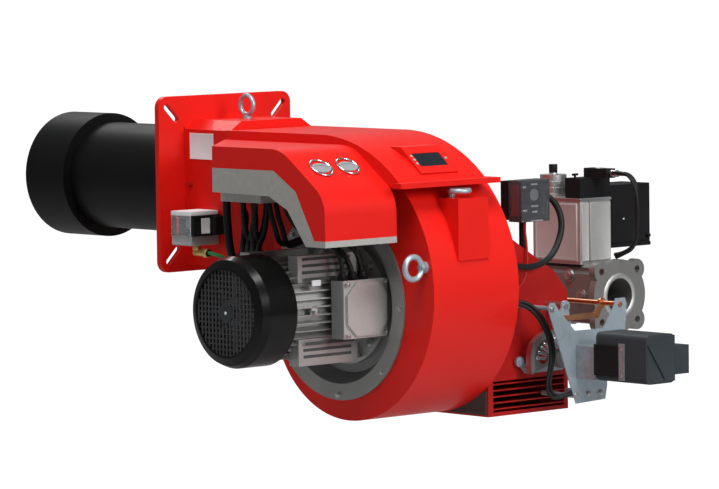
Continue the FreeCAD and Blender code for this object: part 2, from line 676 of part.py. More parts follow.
def tray_prism(shift_x, shift_z, y0, y1):
    points = [(front_x - 20, size("panel_seam")), (size("seam_bend_x"), size("panel_seam")),
              (size("seam_knee_x"), size("seam_knee_z")), (size("seam_foot_x"), foot_z),
              (size("panel_rear_x"), foot_z), (size("panel_rear_x"), foot_z - size("tray_strip")),
              (size("tray_foot_x"), foot_z - size("tray_strip")),
              (size("tray_knee_x"), size("tray_knee_z")), (size("tray_bend_x"), size("tray_bottom") - 5),
              (front_x - 20, size("tray_bottom"))]
    loop = [Vector(x + shift_x, y0, z + shift_z) for x, z in points]
    return Part.Face(Part.makePolygon(loop + [loop[0]])).extrude(Vector(0, y1 - y0, 0))


tray = tray_prism(0, 0, panel_near, panel_far).cut(diagonal(0))
tray_room = tray_prism(2, 3, panel_near + panel_wall, panel_far - panel_wall).cut(
    diagonal(panel_wall * 1.4))
tray_room = tray_room.common(block(0, 760, panel_near, panel_far, foot_z + 40, 200))
tray = tray.cut(tray_room)
cable_box = block(345, 492, -305, -205, -22, size("tray_bottom") + 1)
keep("panel_tray", tray.fuse(cable_box).removeSplitter())
window_spots = []
window_rims = []
drop_z = size("panel_knee_z") - size("panel_top")
run_x = size("panel_knee_x") - size("panel_bend_x")
window_slope = math.degrees(math.atan2(-drop_z, run_x))
window_foot = Vector(size("panel_bend_x") + run_x * 0.42, 0, size("panel_top") + drop_z * 0.42)
for i in range(2):
    y = panel_far - size("window_reach") + 44 - size("window_pitch") * (1 - i)
    lying = FreeCAD.Placement(window_foot + Vector(0, y, 0), FreeCAD.Rotation(Vector(0, 1, 0), window_slope))
    half_long = size("window_length") / 2
    half_wide = size("window_width") / 2

    def oval(a, b, z0, z1):
        ring = Part.Wire(Part.Ellipse(Vector(0, 0, z0), a, b).toShape())
        solid = Part.Face(ring).extrude(Vector(0, 0, z1 - z0))
        solid.Placement = FreeCAD.Placement(Vector(0, 0, 0), FreeCAD.Rotation(Vector(0, 0, 1), 90))
        return solid

    hole = oval(half_long, half_wide, -12, 12)
    rim = oval(half_long + 4, half_wide + 4, 0, 3).fuse(oval(half_long, half_wide, -6, 1))
    rim = rim.cut(oval(half_long - 3, half_wide - 3, 1.5, 5))
    for shape in (hole, rim):
        shape.Placement = lying.multiply(shape.Placement)
    cover = cover.cut(hole)
    window_rims.append(rim)
keep("panel_cover", cover)
keep("panel_windows", Part.makeCompound(window_rims))

# Motor plate, dished towards the scroll, with its ring of screws
fan_base = ("fan_x", "0", "fan_z")
turned("motor_plate", [
    ("dish_bore", "dish_bottom"), ("dish_bore", "dish_bottom + dish_floor"),
    ("dish_radius", "dish_bottom + dish_floor"), ("plate_inner", "plate_face"),
    ("plate_radius", "plate_face"), ("plate_radius", "near_side"),
    ("plate_inner + dish_wall", "near_side"), ("dish_radius + dish_wall", "dish_bottom")],
    fan_base, along_motor)
screws = start_body("plate_screws", fan_base, along_motor)
screw_sketch = start_sketch(screws, "XY_Plane", "head", "plate_face")
circle(screw_sketch, "0", "screw_ring", "screw_head")
screw_pad = pad(screws, screw_sketch, "screw_height")
around(screws, screw_pad, screw_sketch, "screw_count")
screws.AllowCompound = True

# Motor shields, finned frame with its foot pads, and the terminal box
shield_base = size("dish_bottom") + size("dish_floor")


def fan_placed(label, shape):
    piece = keep(label, shape)
    piece.Placement = FreeCAD.Placement(Vector(fan_x, 0, fan_z), along_motor)
    return piece


def ring(inner_radius, outer_radius, low, high):
    solid = Part.makeCylinder(outer_radius, high - low, Vector(0, 0, low))
    if inner_radius <= 0:
        return solid
    return solid.cut(Part.makeCylinder(inner_radius, high - low + 2, Vector(0, 0, low - 1)))


shaft = size("shaft_radius")
running = size("running_gap")
frame_front = size("frame_front")
frame_rear = size("frame_rear")
box_half = size("box_side") / 2
box_face = size("fin_radius") - 2
box_low = size("box_centre") - box_half
box_high = size("box_centre") + box_half
box_room = block(box_face, box_face + 60, -box_half, box_half, box_low, box_high)
front_cap = ring(shaft + running, size("flange_radius"), shield_base, shield_base + size("flange_plate"))
front_cap = front_cap.fuse(ring(shaft + running, size("frame_core"), shield_base, frame_front))
ribs = []
for i in range(8):
    rib = block(size("frame_core") - 4, size("flange_radius") - 8, -4, 4,
                shield_base + size("flange_plate") - 1, frame_front)
    rib = rib.cut(Part.makeBox(60, 10, 60, Vector(0, 0, 0)))
    rib.Placement = FreeCAD.Placement(Vector(0, 0, 0), FreeCAD.Rotation(Vector(0, 0, 1), 22.5 + 45 * i))
    ribs.append(rib)
front_cap = fused([front_cap] + ribs).cut(box_room)
rear_top = frame_rear + size("shield_thickness")
rear_cap = ring(shaft + running, size("fin_radius") - 6, frame_rear, rear_top)
rear_cap = rear_cap.fuse(ring(shaft + running, size("bearing_radius"), rear_top, rear_top + 10))
lugs = []
cowl_inner = size("cowl_radius") - size("cowl_wall")
for i in range(4):
    lug = block(size("fin_radius") - 20, cowl_inner, -11, 11, frame_rear, rear_top)
    lug.Placement = FreeCAD.Placement(Vector(0, 0, 0), FreeCAD.Rotation(Vector(0, 0, 1), 45 + 90 * i))
    lugs.append(lug)
rear_cap = fused([rear_cap] + lugs).common(ring(0, cowl_inner - running, frame_rear - 1, rear_top + 20))
fan_placed("motor_shields", Part.makeCompound([front_cap, rear_cap]))

frame = ring(size("frame_bore"), size("frame_core"), frame_front, frame_rear)
fin_height = size("fin_radius")
fins = []
fin_count = int(size("fin_count"))
for i in range(fin_count):
    fin = block(size("frame_core") - 2, fin_height, -size("fin_thickness") / 2, size("fin_thickness") / 2,
                frame_front + 10, frame_rear - 6)
    fin.Placement = FreeCAD.Placement(Vector(0, 0, 0), FreeCAD.Rotation(Vector(0, 0, 1),
                                                                       (i + 0.5) * 360.0 / fin_count))
    fins.append(fin)
pad_low = math.sqrt(size("frame_core") ** 2 - (size("foot_reach") + 4) ** 2)
middle_y = (frame_front + frame_rear) / 2
feet = []
for side_x in (-1, 1):
    for side_y in (-1, 1):
        x0 = side_x * size("foot_reach")
        x1 = side_x * (size("foot_reach") + size("foot_width"))
        y0 = side_y * (pad_low - 8)
        y1 = side_y * size("foot_height")
        feet.append(block(min(x0, x1), max(x0, x1), min(y0, y1), max(y0, y1),
                          middle_y - size("foot_length") / 2, middle_y + size("foot_length") / 2))
frame = frame.multiFuse(fins + feet)
frame = frame.cut(ring(0, size("frame_bore"), frame_front - 1, frame_rear + 1))
frame = frame.cut(box_room)
fan_placed("motor_frame", frame)
box_rear = box_face + size("box_height")
box = block(box_face, box_rear, -box_half, box_half, box_low, box_high)
box = box.cut(block(box_face + 6, box_rear + 1, -box_half + 5, box_half - 5, box_low + 5, box_high - 5))
terminals = [rod_x(4, box_face + 5, box_face + 22, -22 + 22 * (i % 3), size("box_centre") - 12 + 24 * (i // 3))
             for i in range(6)]
board = block(box_face + 5, box_face + 12, -34, 34, size("box_centre") - 24, size("box_centre") + 24)
fan_placed("terminal_box", fused([box, board] + terminals))
lid_half = size("lid_side") / 2
lid_cut = size("lid_chamfer")
lid_sketch_points = [(-lid_half + lid_cut, -lid_half), (lid_half - lid_cut, -lid_half),
                     (lid_half, -lid_half + lid_cut), (lid_half, lid_half - lid_cut),
                     (lid_half - lid_cut, lid_half), (-lid_half + lid_cut, lid_half),
                     (-lid_half, lid_half - lid_cut), (-lid_half, -lid_half + lid_cut)]
lid = prism_x([(y, z + size("box_centre")) for y, z in lid_sketch_points], box_rear + 4,
              box_rear + size("lid_height"))
lid = lid.fuse(block(box_rear, box_rear + 4, -box_half, box_half, box_low, box_high)).removeSplitter()
fan_placed("terminal_lid", lid)

# Fan cowl with its two-layer guard, shaft with rotor, and the cooling fan
turned("fan_cowl", [
    ("cowl_radius - cowl_wall", "cowl_rear"), ("cowl_radius", "cowl_rear"),
    ("cowl_radius", "cowl_front - cowl_round"), ("cowl_radius - cowl_round * 0.29",
                                                 "cowl_front - cowl_round * 0.29"),
    ("cowl_radius - cowl_round", "cowl_front"), ("grille_radius", "cowl_front"),
    ("grille_radius", "cowl_front - cowl_wall"),
    ("cowl_radius - cowl_round", "cowl_front - cowl_wall"),
    ("cowl_radius - cowl_round * 0.29 - cowl_wall * 0.7", "cowl_front - cowl_round * 0.29 - cowl_wall * 0.7"),
    ("cowl_radius - cowl_wall", "cowl_front - cowl_round")], fan_base, along_motor)
bars = []
guard = size("grille_radius") + 3
pitch = size("grille_pitch")
bar = size("grille_bar")
layer = size("grille_thickness")
guard_top = size("cowl_front") - size("cowl_wall")
lines = int(guard // pitch)
for i in range(-lines, lines + 1):
    at = i * pitch
    reach = math.sqrt(guard ** 2 - (abs(at) + bar / 2) ** 2)
    bars.append(block(at - bar / 2, at + bar / 2, -reach, reach, guard_top - layer, guard_top))
    bars.append(block(-reach, reach, at - bar / 2, at + bar / 2, guard_top - 2 * layer, guard_top - layer))
bars.append(ring(0, size("grille_hub"), guard_top - 2 * layer - 2, guard_top - 2 * layer))
fan_placed("cowl_guard", Part.makeCompound(bars))
rotor_low = middle_y - size("rotor_length") / 2
shaft_shape = fused([ring(0, shaft, size("wheel_back") - size("hub_length") - 6, size("shaft_rear")),
                     ring(0, size("rotor_radius"), rotor_low, rotor_low + size("rotor_length"))])
fan_placed("motor_shaft", shaft_shape)
fan_low = size("shaft_rear") - size("cooling_width") - 8
fan_blades = []
for i in range(int(size("cooling_blades"))):
    blade = block(size("cooling_hub") - 2, size("cooling_radius"), -2, 2, fan_low,
                  fan_low + size("cooling_width"))
    blade.Placement = FreeCAD.Placement(Vector(0, 0, 0), FreeCAD.Rotation(
        Vector(0, 0, 1), 360.0 * i / int(size("cooling_blades"))))
    fan_blades.append(blade)
cooling = fused([ring(shaft, size("cooling_hub"), fan_low, fan_low + size("cooling_width")),
                 ring(shaft, size("cooling_radius") - 12, fan_low, fan_low + 4)] + fan_blades)
fan_placed("cooling_fan", cooling)

# Impeller with backward curved blades, and the cone that feeds it
wheel_radius = size("wheel_radius")
back = size("wheel_back")
plate = size("wheel_disc")
front_plane = back - size("wheel_width")


def blade_point(radius, turn, height):
    share = (radius - 100) / (wheel_radius - 2 - 100)
    angle = math.radians(turn - 42 * share ** 1.25)
    return Vector(radius * math.cos(angle), radius * math.sin(angle), height)


def curved_blade(turn):
    low = front_plane + plate - 0.5
    radii = (100, (100 + wheel_radius) / 2, wheel_radius - 2)
    one = [blade_point(radius, turn, low) for radius in radii]
    two = [blade_point(radius, turn + math.degrees(size("blade_thickness") / radius), low)
           for radius in radii]
    edges = [Part.Arc(*one).toShape(), Part.LineSegment(one[2], two[2]).toShape(),
             Part.Arc(two[2], two[1], two[0]).toShape(), Part.LineSegment(two[0], one[0]).toShape()]
    return Part.Face(Part.Wire(edges)).extrude(Vector(0, 0, back - plate + 0.5 - low))


blades = [curved_blade(360.0 * i / int(size("wheel_blades"))) for i in range(int(size("wheel_blades")))]
wheel = fused([ring(shaft, wheel_radius, back - plate, back),
               ring(shaft, size("wheel_hub"), back - size("hub_length"), back),
               ring(size("wheel_eye"), wheel_radius, front_plane, front_plane + plate)] + blades)
fan_placed("impeller", wheel)
throat = "cone_throat"
skin = "cone_wall"
cone_tip = "-(wheel_width - wheel_back - wheel_disc + 1)"
turned("inlet_cone", [
    (throat, cone_tip), (throat + " + " + skin, cone_tip),
    (throat + " + " + skin, "-(far_side - 60)"), ("inlet_hole - 1", "-far_side"),
    ("inlet_hole + 20", "-far_side"), ("inlet_hole + 20", "-(far_side + " + skin + ")"),
    ("inlet_hole - 3", "-(far_side + " + skin + ")"), (throat, "-(far_side - 58)")], fan_base, along_motor)

# Air inlet box with rear slats
box_wall = size("inlet_wall")
inlet_x0 = size("inlet_front")
inlet_x1 = size("inlet_rear")


def inlet_loop(inset):
    bottom = -size("inlet_bottom") + inset
    side_y = size("inlet_side") - inset
    start = far + inset
    return [(start, bottom), (side_y, bottom), (side_y, -size("inlet_corner_z") - inset * 0.5),
            (size("inlet_slope_y") - inset * 0.7, -size("inlet_slope_z") - inset * 0.8),
            (size("inlet_crown_y"), -size("inlet_crown_z") - inset), (start, -size("inlet_top") - inset)]


inlet = prism_x(inlet_loop(0), inlet_x0, inlet_x1)
inlet = inlet.cut(prism_x(inlet_loop(box_wall), inlet_x0 + box_wall, inlet_x1 - box_wall))
intake = block(inlet_x1 - 10, inlet_x1 + 10, size("intake_near"), size("intake_far"),
               -size("intake_low"), -size("intake_high"))
inlet = inlet.cut(intake)
slats = []
slat_step = (size("intake_low") - size("intake_high")) / size("slat_count")
slat_plate = size("slat_thickness")
for i in range(int(size("slat_count"))):
    z = -size("intake_low") + slat_step * (i + 0.5)
    slats.append(block(inlet_x1 - size("slat_depth"), inlet_x1, size("intake_near") - 1,
                       size("intake_far") + 1, z - slat_plate / 2, z + slat_plate / 2))
servo_y = size("servo_y")
servo_z = size("servo_z")
second_y = servo_y - size("damper_pitch")
blade_half = size("blade_half")
ledge_z = servo_z - 2
ledge = block(inlet_x0 + 1, inlet_x1 - 1, far + 1, second_y - blade_half - 1, ledge_z, ledge_z + 4)
inlet = fused([inlet, ledge] + slats)
cone_room = rod_y(size("inlet_hole") + 22, fan_x, far - 5, far + box_wall + size("slide_gap"), fan_z)
inlet = inlet.cut(cone_room)
shaft_hole = size("damper_shaft") + running
for y in (servo_y, second_y):
    inlet = inlet.cut(rod_x(shaft_hole, inlet_x0 - 5, inlet_x1 + 5, y, servo_z))
keep("air_inlet_box", inlet)

# Two damper blades on parallel shafts, joined outside the box by a crossing link
shaft_radius = size("damper_shaft")
crank = size("crank_radius")
crank_x = inlet_x1 + size("crank_gap")
crank_plate = size("crank_plate")
pin = size("crank_pin")
lean = math.sqrt(0.5)
link_x = crank_x + crank_plate + 1


def arm_plate(x0, x1, y, z, reach_y, reach_z, half):
    # flat arm from a hub to a pin place, rounded at both ends
    along = Vector(0, reach_y, reach_z)
    sideways = Vector(0, -reach_z, reach_y).normalize() * half
    start = Vector(x0, y, z)
    loop = [start + sideways, start + along + sideways, start + along - sideways, start - sideways]
    body = Part.Face(Part.makePolygon(loop + [loop[0]])).extrude(Vector(x1 - x0, 0, 0))
    return fused([body, rod_x(half, x0, x1, y, z), rod_x(half, x0, x1, y + reach_y, z + reach_z)])


def damper(y, rear_end):
    shapes = [rod_x(shaft_radius, inlet_x0 - 4, rear_end, y, servo_z),
              block(inlet_x0 + box_wall + 4, inlet_x1 - box_wall - 18, y - blade_half, y + blade_half,
                    servo_z - size("blade_plate") / 2, servo_z + size("blade_plate") / 2),
              arm_plate(crank_x, crank_x + crank_plate, y, servo_z, crank * lean, -crank * lean, 8),
              rod_x(13, crank_x, crank_x + crank_plate, y, servo_z),
              rod_x(pin, crank_x + crank_plate - 1, link_x + size("link_plate") + 1, y + crank * lean,
                    servo_z - crank * lean)]
    return fused(shapes)


shaft_end = size("bracket_x") + size("bracket_plate") + 20
keep("damper_front", damper(second_y, crank_x + crank_plate + 4))
keep("damper_rear", damper(servo_y, shaft_end))
pin_y = servo_y + crank * lean
pin_z = servo_z - crank * lean
link = arm_plate(link_x, link_x + size("link_plate"), pin_y, pin_z, -size("damper_pitch"), 0,
                 size("link_half"))
link = link.cut(rod_x(pin + running, link_x - 5, link_x + 10, pin_y, pin_z))
link = link.cut(rod_x(pin + size("pin_gap"), link_x - 5, link_x + 10, pin_y - size("damper_pitch"), pin_z))
keep("damper_link", link)

# Servo bracket on distance posts, and the post that carries the follower
bracket_x = size("bracket_x")
bracket_plate = size("bracket_plate")
pivot_y = size("pivot_y")
rod_y_place = size("rod_y")
rod_z_place = size("rod_z")
bracket_points = [(280, -301), (280, -288), (286, -282), (300, -282), (312, -297), (343, -329), (370, -355),
                  (471, -356), (508, -302), (512, -285), (546, -285), (552, -300), (545, -371),
                  (532, -378), (481, -380), (481, -497), (474, -531), (372, -535), (344, -466), (317, -396)]
bracket = prism_x(bracket_points, bracket_x, bracket_x + bracket_plate)
bracket = bracket.cut(rod_x(shaft_radius + 4, bracket_x - 5, bracket_x + 9, servo_y, servo_z))
bracket = bracket.cut(rod_x(size("rod_radius") + running, bracket_x - 5, bracket_x + 9, rod_y_place,
                            rod_z_place))
posts = [rod_x(6, inlet_x1, bracket_x, y, z) for y, z in ((293, -296), (375, -516), (458, -516))]
lever_x = size("lever_x")
lever_plate = size("lever_plate")
post_end = lever_x + lever_plate + 3
pivot = fused([rod_x(size("pivot_radius"), inlet_x1, post_end, pivot_y, rod_z_place),
               rod_x(size("post_radius") + 3, inlet_x1, lever_x - 1, pivot_y, rod_z_place)])
bracket = fused([bracket] + posts)
keep("servo_bracket", bracket)
keep("pivot_post", pivot)

# Servo drive: gearbox, motor body and end block
gear_x0 = bracket_x + bracket_plate
gear_x1 = gear_x0 + size("gearbox_length")
gearbox = block(gear_x0, gear_x1, size("gearbox_near"), size("gearbox_far"), size("gearbox_bottom"),
                size("gearbox_top"))
gearbox = gearbox.cut(rod_x(shaft_radius + size("pin_gap"), gear_x0 - 1, gear_x0 + 22, servo_y, servo_z))
keep("servo_gearbox", gearbox)
servo_x1 = gear_x1 + size("servo_length")
servo = block(gear_x1, servo_x1, size("gearbox_near") + 3, size("servo_far"), size("servo_bottom"),
              size("servo_top"))
long_edges = [edge for edge in servo.Edges
              if abs(edge.tangentAt(edge.FirstParameter).x) > 0.99]
servo = servo.makeFillet(size("servo_round"), long_edges)
tail = block(servo_x1 - size("tail_length"), servo_x1 - 4, size("servo_far") - 5, size("tail_far"),
             size("servo_bottom") + 18, size("servo_top") - 32)
keep("servo_drive", servo.fuse(tail).removeSplitter())

# Cam disc, its spring band and the adjusting screws; the band is cut as the envelope of the roller
roller = size("roller_radius")
roller_arm = size("roller_arm")
cam_width = size("cam_width")
cam_x = size("cam_x")
ratio = size("follower_turn") / size("cam_turn")


def roller_path(turn):
    # roller centre seen from the cam, turned back by the cam's own angle
    held = min(max(turn, 0.0), size("cam_turn"))
    angle = math.radians(size("roller_start") + ratio * held)
    y = pivot_y + roller_arm * math.cos(angle) - servo_y
    z = rod_z_place + roller_arm * math.sin(angle) - servo_z
    back_turn = math.radians(turn)
    return Vector(0, y * math.cos(back_turn) - z * math.sin(back_turn),
                  y * math.sin(back_turn) + z * math.cos(back_turn))


def cam_curve(offset, first=-14, last=None, step=4):
    last = last or size("cam_tail") - 85
    points = []
    turn = first
    while turn <= last + 0.01:
        here = roller_path(turn)
        ahead = roller_path(turn + 0.2) - roller_path(turn - 0.2)
        inward = Vector(0, -ahead.z, ahead.y).normalize()
        if inward.dot(here) > 0:
            inward = inward * -1
        points.append(here + inward * offset)
        turn += step
    return points


def cam_wire(points_out, points_in, x):
    shift = Vector(x, servo_y, servo_z)
    outer_curve = Part.BSplineCurve()
    outer_curve.interpolate([p + shift for p in points_out])
    inner_curve = Part.BSplineCurve()
    inner_curve.interpolate([p + shift for p in points_in])
    a = outer_curve.toShape()
    b = inner_curve.toShape()
    one = Part.LineSegment(points_out[0] + shift, points_in[0] + shift).toShape()
    two = Part.LineSegment(points_out[-1] + shift, points_in[-1] + shift).toShape()
    return Part.Face(Part.Wire(Part.__sortEdges__([a, two, b, one])))


band_out = roller + size("pin_gap")
band_in = band_out + size("strip_thickness")
band = cam_wire(cam_curve(band_out), cam_curve(band_in), cam_x - cam_width / 2).extrude(
    Vector(cam_width, 0, 0))
keep("cam_band", band)
rim = cam_wire(cam_curve(band_in), cam_curve(band_in + 13), cam_x - 6).extrude(Vector(12, 0, 0))
edge_points = cam_curve(band_in + 8)
shift = Vector(cam_x - size("cam_plate") / 2, servo_y, servo_z)
web_curve = Part.BSplineCurve()
web_curve.interpolate([p + shift for p in edge_points])
hub = size("cam_hub")
web_edges = [web_curve.toShape(), Part.LineSegment(edge_points[-1] + shift, shift).toShape(),
             Part.LineSegment(shift, edge_points[0] + shift).toShape()]
web = Part.Face(Part.Wire(Part.__sortEdges__(web_edges))).extrude(Vector(size("cam_plate"), 0, 0))
for i in range(4):
    mid = edge_points[3 + int((len(edge_points) - 6) * (i + 0.5) / 4)]
    window = rod_x(9 + 2.5 * i, cam_x - 10, cam_x + 10, servo_y + mid.y * 0.62, servo_z + mid.z * 0.62)
    web = web.cut(window)
hub_solid = rod_x(hub, cam_x - 9, cam_x + 12, servo_y, servo_z)
cam_screw_count = int(size("cam_screws"))
screw_shapes = []
tops = cam_curve(band_in + size("slide_gap"), step=2)
lows = cam_curve(band_in + 24, step=2)
for i in range(cam_screw_count):
    place = 3 + int((len(tops) - 7) * i / (cam_screw_count - 1))
    top = tops[place] + Vector(cam_x, servo_y, servo_z)
    low = lows[place] + Vector(cam_x, servo_y, servo_z)
    screw_shapes.append(Part.makeCylinder(2.6, (top - low).Length, low, top - low))
cam_shape = fused([rim, web, hub_solid])
cam_shape = cam_shape.cut(rod_x(shaft_radius, cam_x - 20, cam_x + 20, servo_y, servo_z))
cam_shape = cam_shape.cut(Part.makeCompound(screw_shapes))
keep("cam_disc", max(cam_shape.Solids, key=lambda solid: solid.Volume))
keep("cam_screws", Part.makeCompound(screw_shapes))

# Follower lever with its roller, the gas link and the throttle rod with crank and butterfly disc
roller_angle = math.radians(size("roller_start"))
roller_y = pivot_y + roller_arm * math.cos(roller_angle)
roller_z = rod_z_place + roller_arm * math.sin(roller_angle)
arm_angle = math.radians(size("arm_start"))
arm_y = size("arm_length") * math.cos(arm_angle)
arm_z = size("arm_length") * math.sin(arm_angle)
lever_half = size("lever_half")
link2_x = lever_x + lever_plate + 1
lever = fused([
    arm_plate(lever_x, lever_x + lever_plate, pivot_y, rod_z_place, roller_y - pivot_y,
              roller_z - rod_z_place, lever_half),
    arm_plate(lever_x, lever_x + lever_plate, pivot_y, rod_z_place, arm_y, arm_z, lever_half),
    rod_x(14, lever_x, lever_x + lever_plate, pivot_y, rod_z_place),
    rod_x(pin, cam_x - cam_width / 2 - 1, lever_x + 1, roller_y, roller_z),
    rod_x(pin, lever_x + lever_plate - 1, link2_x + size("link_plate") + 1, pivot_y + arm_y,
          rod_z_place + arm_z)])
lever = lever.cut(rod_x(size("pivot_radius") + running, lever_x - 5, lever_x + 12, pivot_y, rod_z_place))
keep("follower_lever", lever)
wheel_low = cam_x - cam_width / 2 + 1
keep("cam_roller", rod_x(roller, wheel_low, wheel_low + cam_width - 2, roller_y, roller_z).cut(
    rod_x(pin + running, wheel_low - 1, wheel_low + 20, roller_y, roller_z)))
gas_link = arm_plate(link2_x, link2_x + size("link_plate"), pivot_y + arm_y, rod_z_place + arm_z,
                     rod_y_place - pivot_y, 0, size("link_half"))
gas_link = gas_link.cut(rod_x(pin + running, link2_x - 5, link2_x + 10, pivot_y + arm_y,
                              rod_z_place + arm_z))
gas_link = gas_link.cut(rod_x(pin + size("pin_gap"), link2_x - 5, link2_x + 10, rod_y_place + arm_y,
                              rod_z_place + arm_z))
keep("gas_link", gas_link)
rod_radius = size("rod_radius")
rod_start = riser_x - size("butterfly_radius") - 8
throttle = fused([
    rod_x(rod_radius, rod_start, bracket_x + bracket_plate + 4, rod_y_place, rod_z_place),
    rod_x(12, lever_x, lever_x + lever_plate, rod_y_place, rod_z_place),
    arm_plate(lever_x, lever_x + lever_plate, rod_y_place, rod_z_place, arm_y, arm_z, lever_half),
    rod_x(pin, lever_x + lever_plate - 1, link2_x + size("link_plate") + 1, rod_y_place + arm_y,
          rod_z_place + arm_z)])
flap = rod_y(size("butterfly_bore") - 0.5, riser_x, rod_y_place - size("butterfly_disc") / 2,
             rod_y_place + size("butterfly_disc") / 2, rod_z_place)
keep("throttle_rod", throttle.fuse(flap).removeSplitter())
flap_body = rod_y(size("butterfly_radius"), riser_x, rod_y_place - size("butterfly_width") / 2,
                  rod_y_place + size("butterfly_width") / 2, rod_z_place)
flap_body = flap_body.cut(rod_y(size("butterfly_bore"), riser_x, rod_y_place - 60, rod_y_place + 60,
                                rod_z_place))
flap_body = flap_body.cut(rod_x(rod_radius + running, riser_x - 90, riser_x + 90, rod_y_place, rod_z_place))
keep("throttle_body", flap_body)

# Gas pipes before and after the throttle
gas_y = size("gas_y")
gas_z = size("gas_z")
pipe = size("pipe_radius")
pipe_bore = pipe - size("pipe_wall")
bend = size("pipe_bend")
valve_x0 = size("valve_front")
flange_plate = 14


def bent_pipe(points, radius, bends):
    edges = rounded_edges([Vector(*p) for p in points], [0] + bends + [0])
    start = Vector(*points[0])
    direction = Vector(*points[1]) - start
    return swept(edges, radius, start, direction)


def pipe_run(points, bends):
    outside = bent_pipe(points, pipe, bends)
    inside = bent_pipe(points, pipe_bore, bends)
    return outside.cut(inside)


flap_far = rod_y_place + size("butterfly_width") / 2
flap_near = rod_y_place - size("butterfly_width") / 2
valve_flange_x = valve_x0 - size("gas_flange")
supply = pipe_run([(valve_flange_x, gas_y, gas_z), (riser_x, gas_y, gas_z), (riser_x, flap_far, gas_z)],
                  [bend])
collars = [rod_y(size("butterfly_radius"), riser_x, flap_far, flap_far + flange_plate, gas_z).cut(
    rod_y(pipe_bore, riser_x, flap_far - 5, flap_far + 30, gas_z)),
    rod_x(size("gas_disc"), valve_flange_x - flange_plate, valve_flange_x, gas_y, gas_z).cut(
        rod_x(pipe_bore, valve_flange_x - 40, valve_flange_x + 5, gas_y, gas_z))]
keep("gas_supply_pipe", fused([supply] + collars))
riser = pipe_run([(riser_x, flap_near, gas_z), (riser_x, 0, gas_z), (riser_x, 0, -46)], [80])
riser = riser.fuse(rod_y(size("butterfly_radius"), riser_x, flap_near - flange_plate, flap_near,
                         gas_z).cut(rod_y(pipe_bore, riser_x, flap_near - 30, flap_near + 5, gas_z)))
sleeve = rod_x(size("sleeve_radius"), size("sleeve_front"), size("sleeve_rear") + 6, 0, 0)
riser = riser.fuse(sleeve)
riser = riser.cut(rod_x(lance + running, size("sleeve_front") - 1, size("sleeve_rear"), 0, 0))
riser = riser.cut(rod_z(pipe_bore - 14, riser_x, 0, -60, -20))
keep("gas_riser", riser)

# Gas valve with round flanges, coil block, caps and the side box
gas_face = size("gas_face")
valve_half = size("valve_half")
bolt_ring = size("bolt_circle") / 2
bolt_spots = [(gas_y + bolt_ring * math.cos(math.radians(a)), gas_z + bolt_ring * math.sin(math.radians(a)))
              for a in (45, 135, 225, 315)]


def round_flange(x0, x1):
    lobes = [rod_x(size("lobe_radius"), x0, x1, y, z) for y, z in bolt_spots]
    return [rod_x(size("gas_disc"), x0, x1, gas_y, gas_z)] + lobes


lower = block(valve_x0 - 1, gas_face - size("gas_flange") + 1, gas_y - valve_half, gas_y + valve_half,
              size("valve_bottom"), size("valve_top"))
cross_edges = [edge for edge in lower.Edges if abs(edge.tangentAt(edge.FirstParameter).x) > 0.99]
lower = lower.makeFillet(18, cross_edges)
valve = fused([lower] + round_flange(valve_flange_x, valve_x0)
              + round_flange(gas_face - size("gas_flange"), gas_face))
valve = valve.cut(rod_x(size("gas_bore"), valve_flange_x - 1, gas_face + 1, gas_y, gas_z))
for y, z in bolt_spots:
    valve = valve.cut(rod_x(size("bolt_hole"), valve_flange_x - 1, gas_face + 1, y, z))
keep("gas_valve", valve)
coil = block(size("coil_front"), size("coil_rear"), size("coil_near"), size("coil_far"),
             size("valve_top"), size("coil_top"))
coil = coil.makeFillet(5, [edge for edge in coil.Edges if abs(edge.tangentAt(edge.FirstParameter).z) > 0.99])
room_end = valve_x0 + size("slide_gap")
rooms = [rod_x(size("gas_disc") + size("slide_gap"), size("coil_front") - 1, room_end, gas_y, gas_z)]
rooms += [rod_x(size("lobe_radius") + size("slide_gap"), size("coil_front") - 1, room_end, y, z)
          for y, z in bolt_spots]
keep("valve_coil", coil.cut(fused(rooms)))
cap = block(size("cap_front"), size("coil_rear") - 1, size("coil_near") + 1, size("coil_far") - 1,
            size("coil_top"), size("cap_top"))
connector = block(size("coil_rear") - 30, size("coil_rear") + 50, gas_y - 16, gas_y + 16,
                  size("cap_top"), size("cap_top") + 24)
keep("valve_cap", cap.fuse(connector).removeSplitter())
regulator_x = size("regulator_x")
keep("gas_regulator", rod_z(size("regulator_radius"), regulator_x, gas_y - 16, size("coil_top"),
                            size("regulator_top")).fuse(
    rod_z(size("stub_radius"), regulator_x, gas_y - 16, size("regulator_top"), size("stub_top"))))
keep("valve_side_box", block(size("prover_front"), size("prover_rear"), size("prover_near") - 2,
                             size("prover_far"), size("prover_bottom"), size("prover_top")))

# Pressure switches with turning dials
switch_x0 = size("front_switch_x")
switch_x1 = switch_x0 + size("front_switch_length")
switch_y1 = -size("duct_half")
switch_y0 = switch_y1 - size("front_switch_depth")
switch_z0 = size("front_switch_bottom")
switch_z1 = size("front_switch_top")
middle_x = (switch_x0 + switch_x1) / 2
body = block(switch_x0, switch_x1, switch_y0, switch_y1 - 12, switch_z0, switch_z1)
stem = rod_y(size("nipple_radius"), middle_x, switch_y1 - 14, switch_y1, switch_z0 + 20)
elbow = rod_z(8, middle_x, switch_y0 + 20, switch_z0 - 26, switch_z0)
dial_y = switch_y0
dial_z = switch_z1 - 30
front_switch = fused([body, stem, elbow]).cut(rod_y(15, middle_x, switch_y0 - 1, switch_y0 + 5, dial_z))
keep("front_switch", front_switch)
keep("front_dial", rod_y(14.7, middle_x, dial_y, dial_y + 4.7, dial_z).cut(
    block(middle_x - 11, middle_x + 11, dial_y - 1, dial_y + 2, dial_z - 1.5, dial_z + 1.5)))
rear_x0 = size("rear_switch_x")
rear_x1 = rear_x0 + size("rear_switch_depth")
rear_y = size("rear_switch_y")
rear_half = size("rear_switch_width") / 2
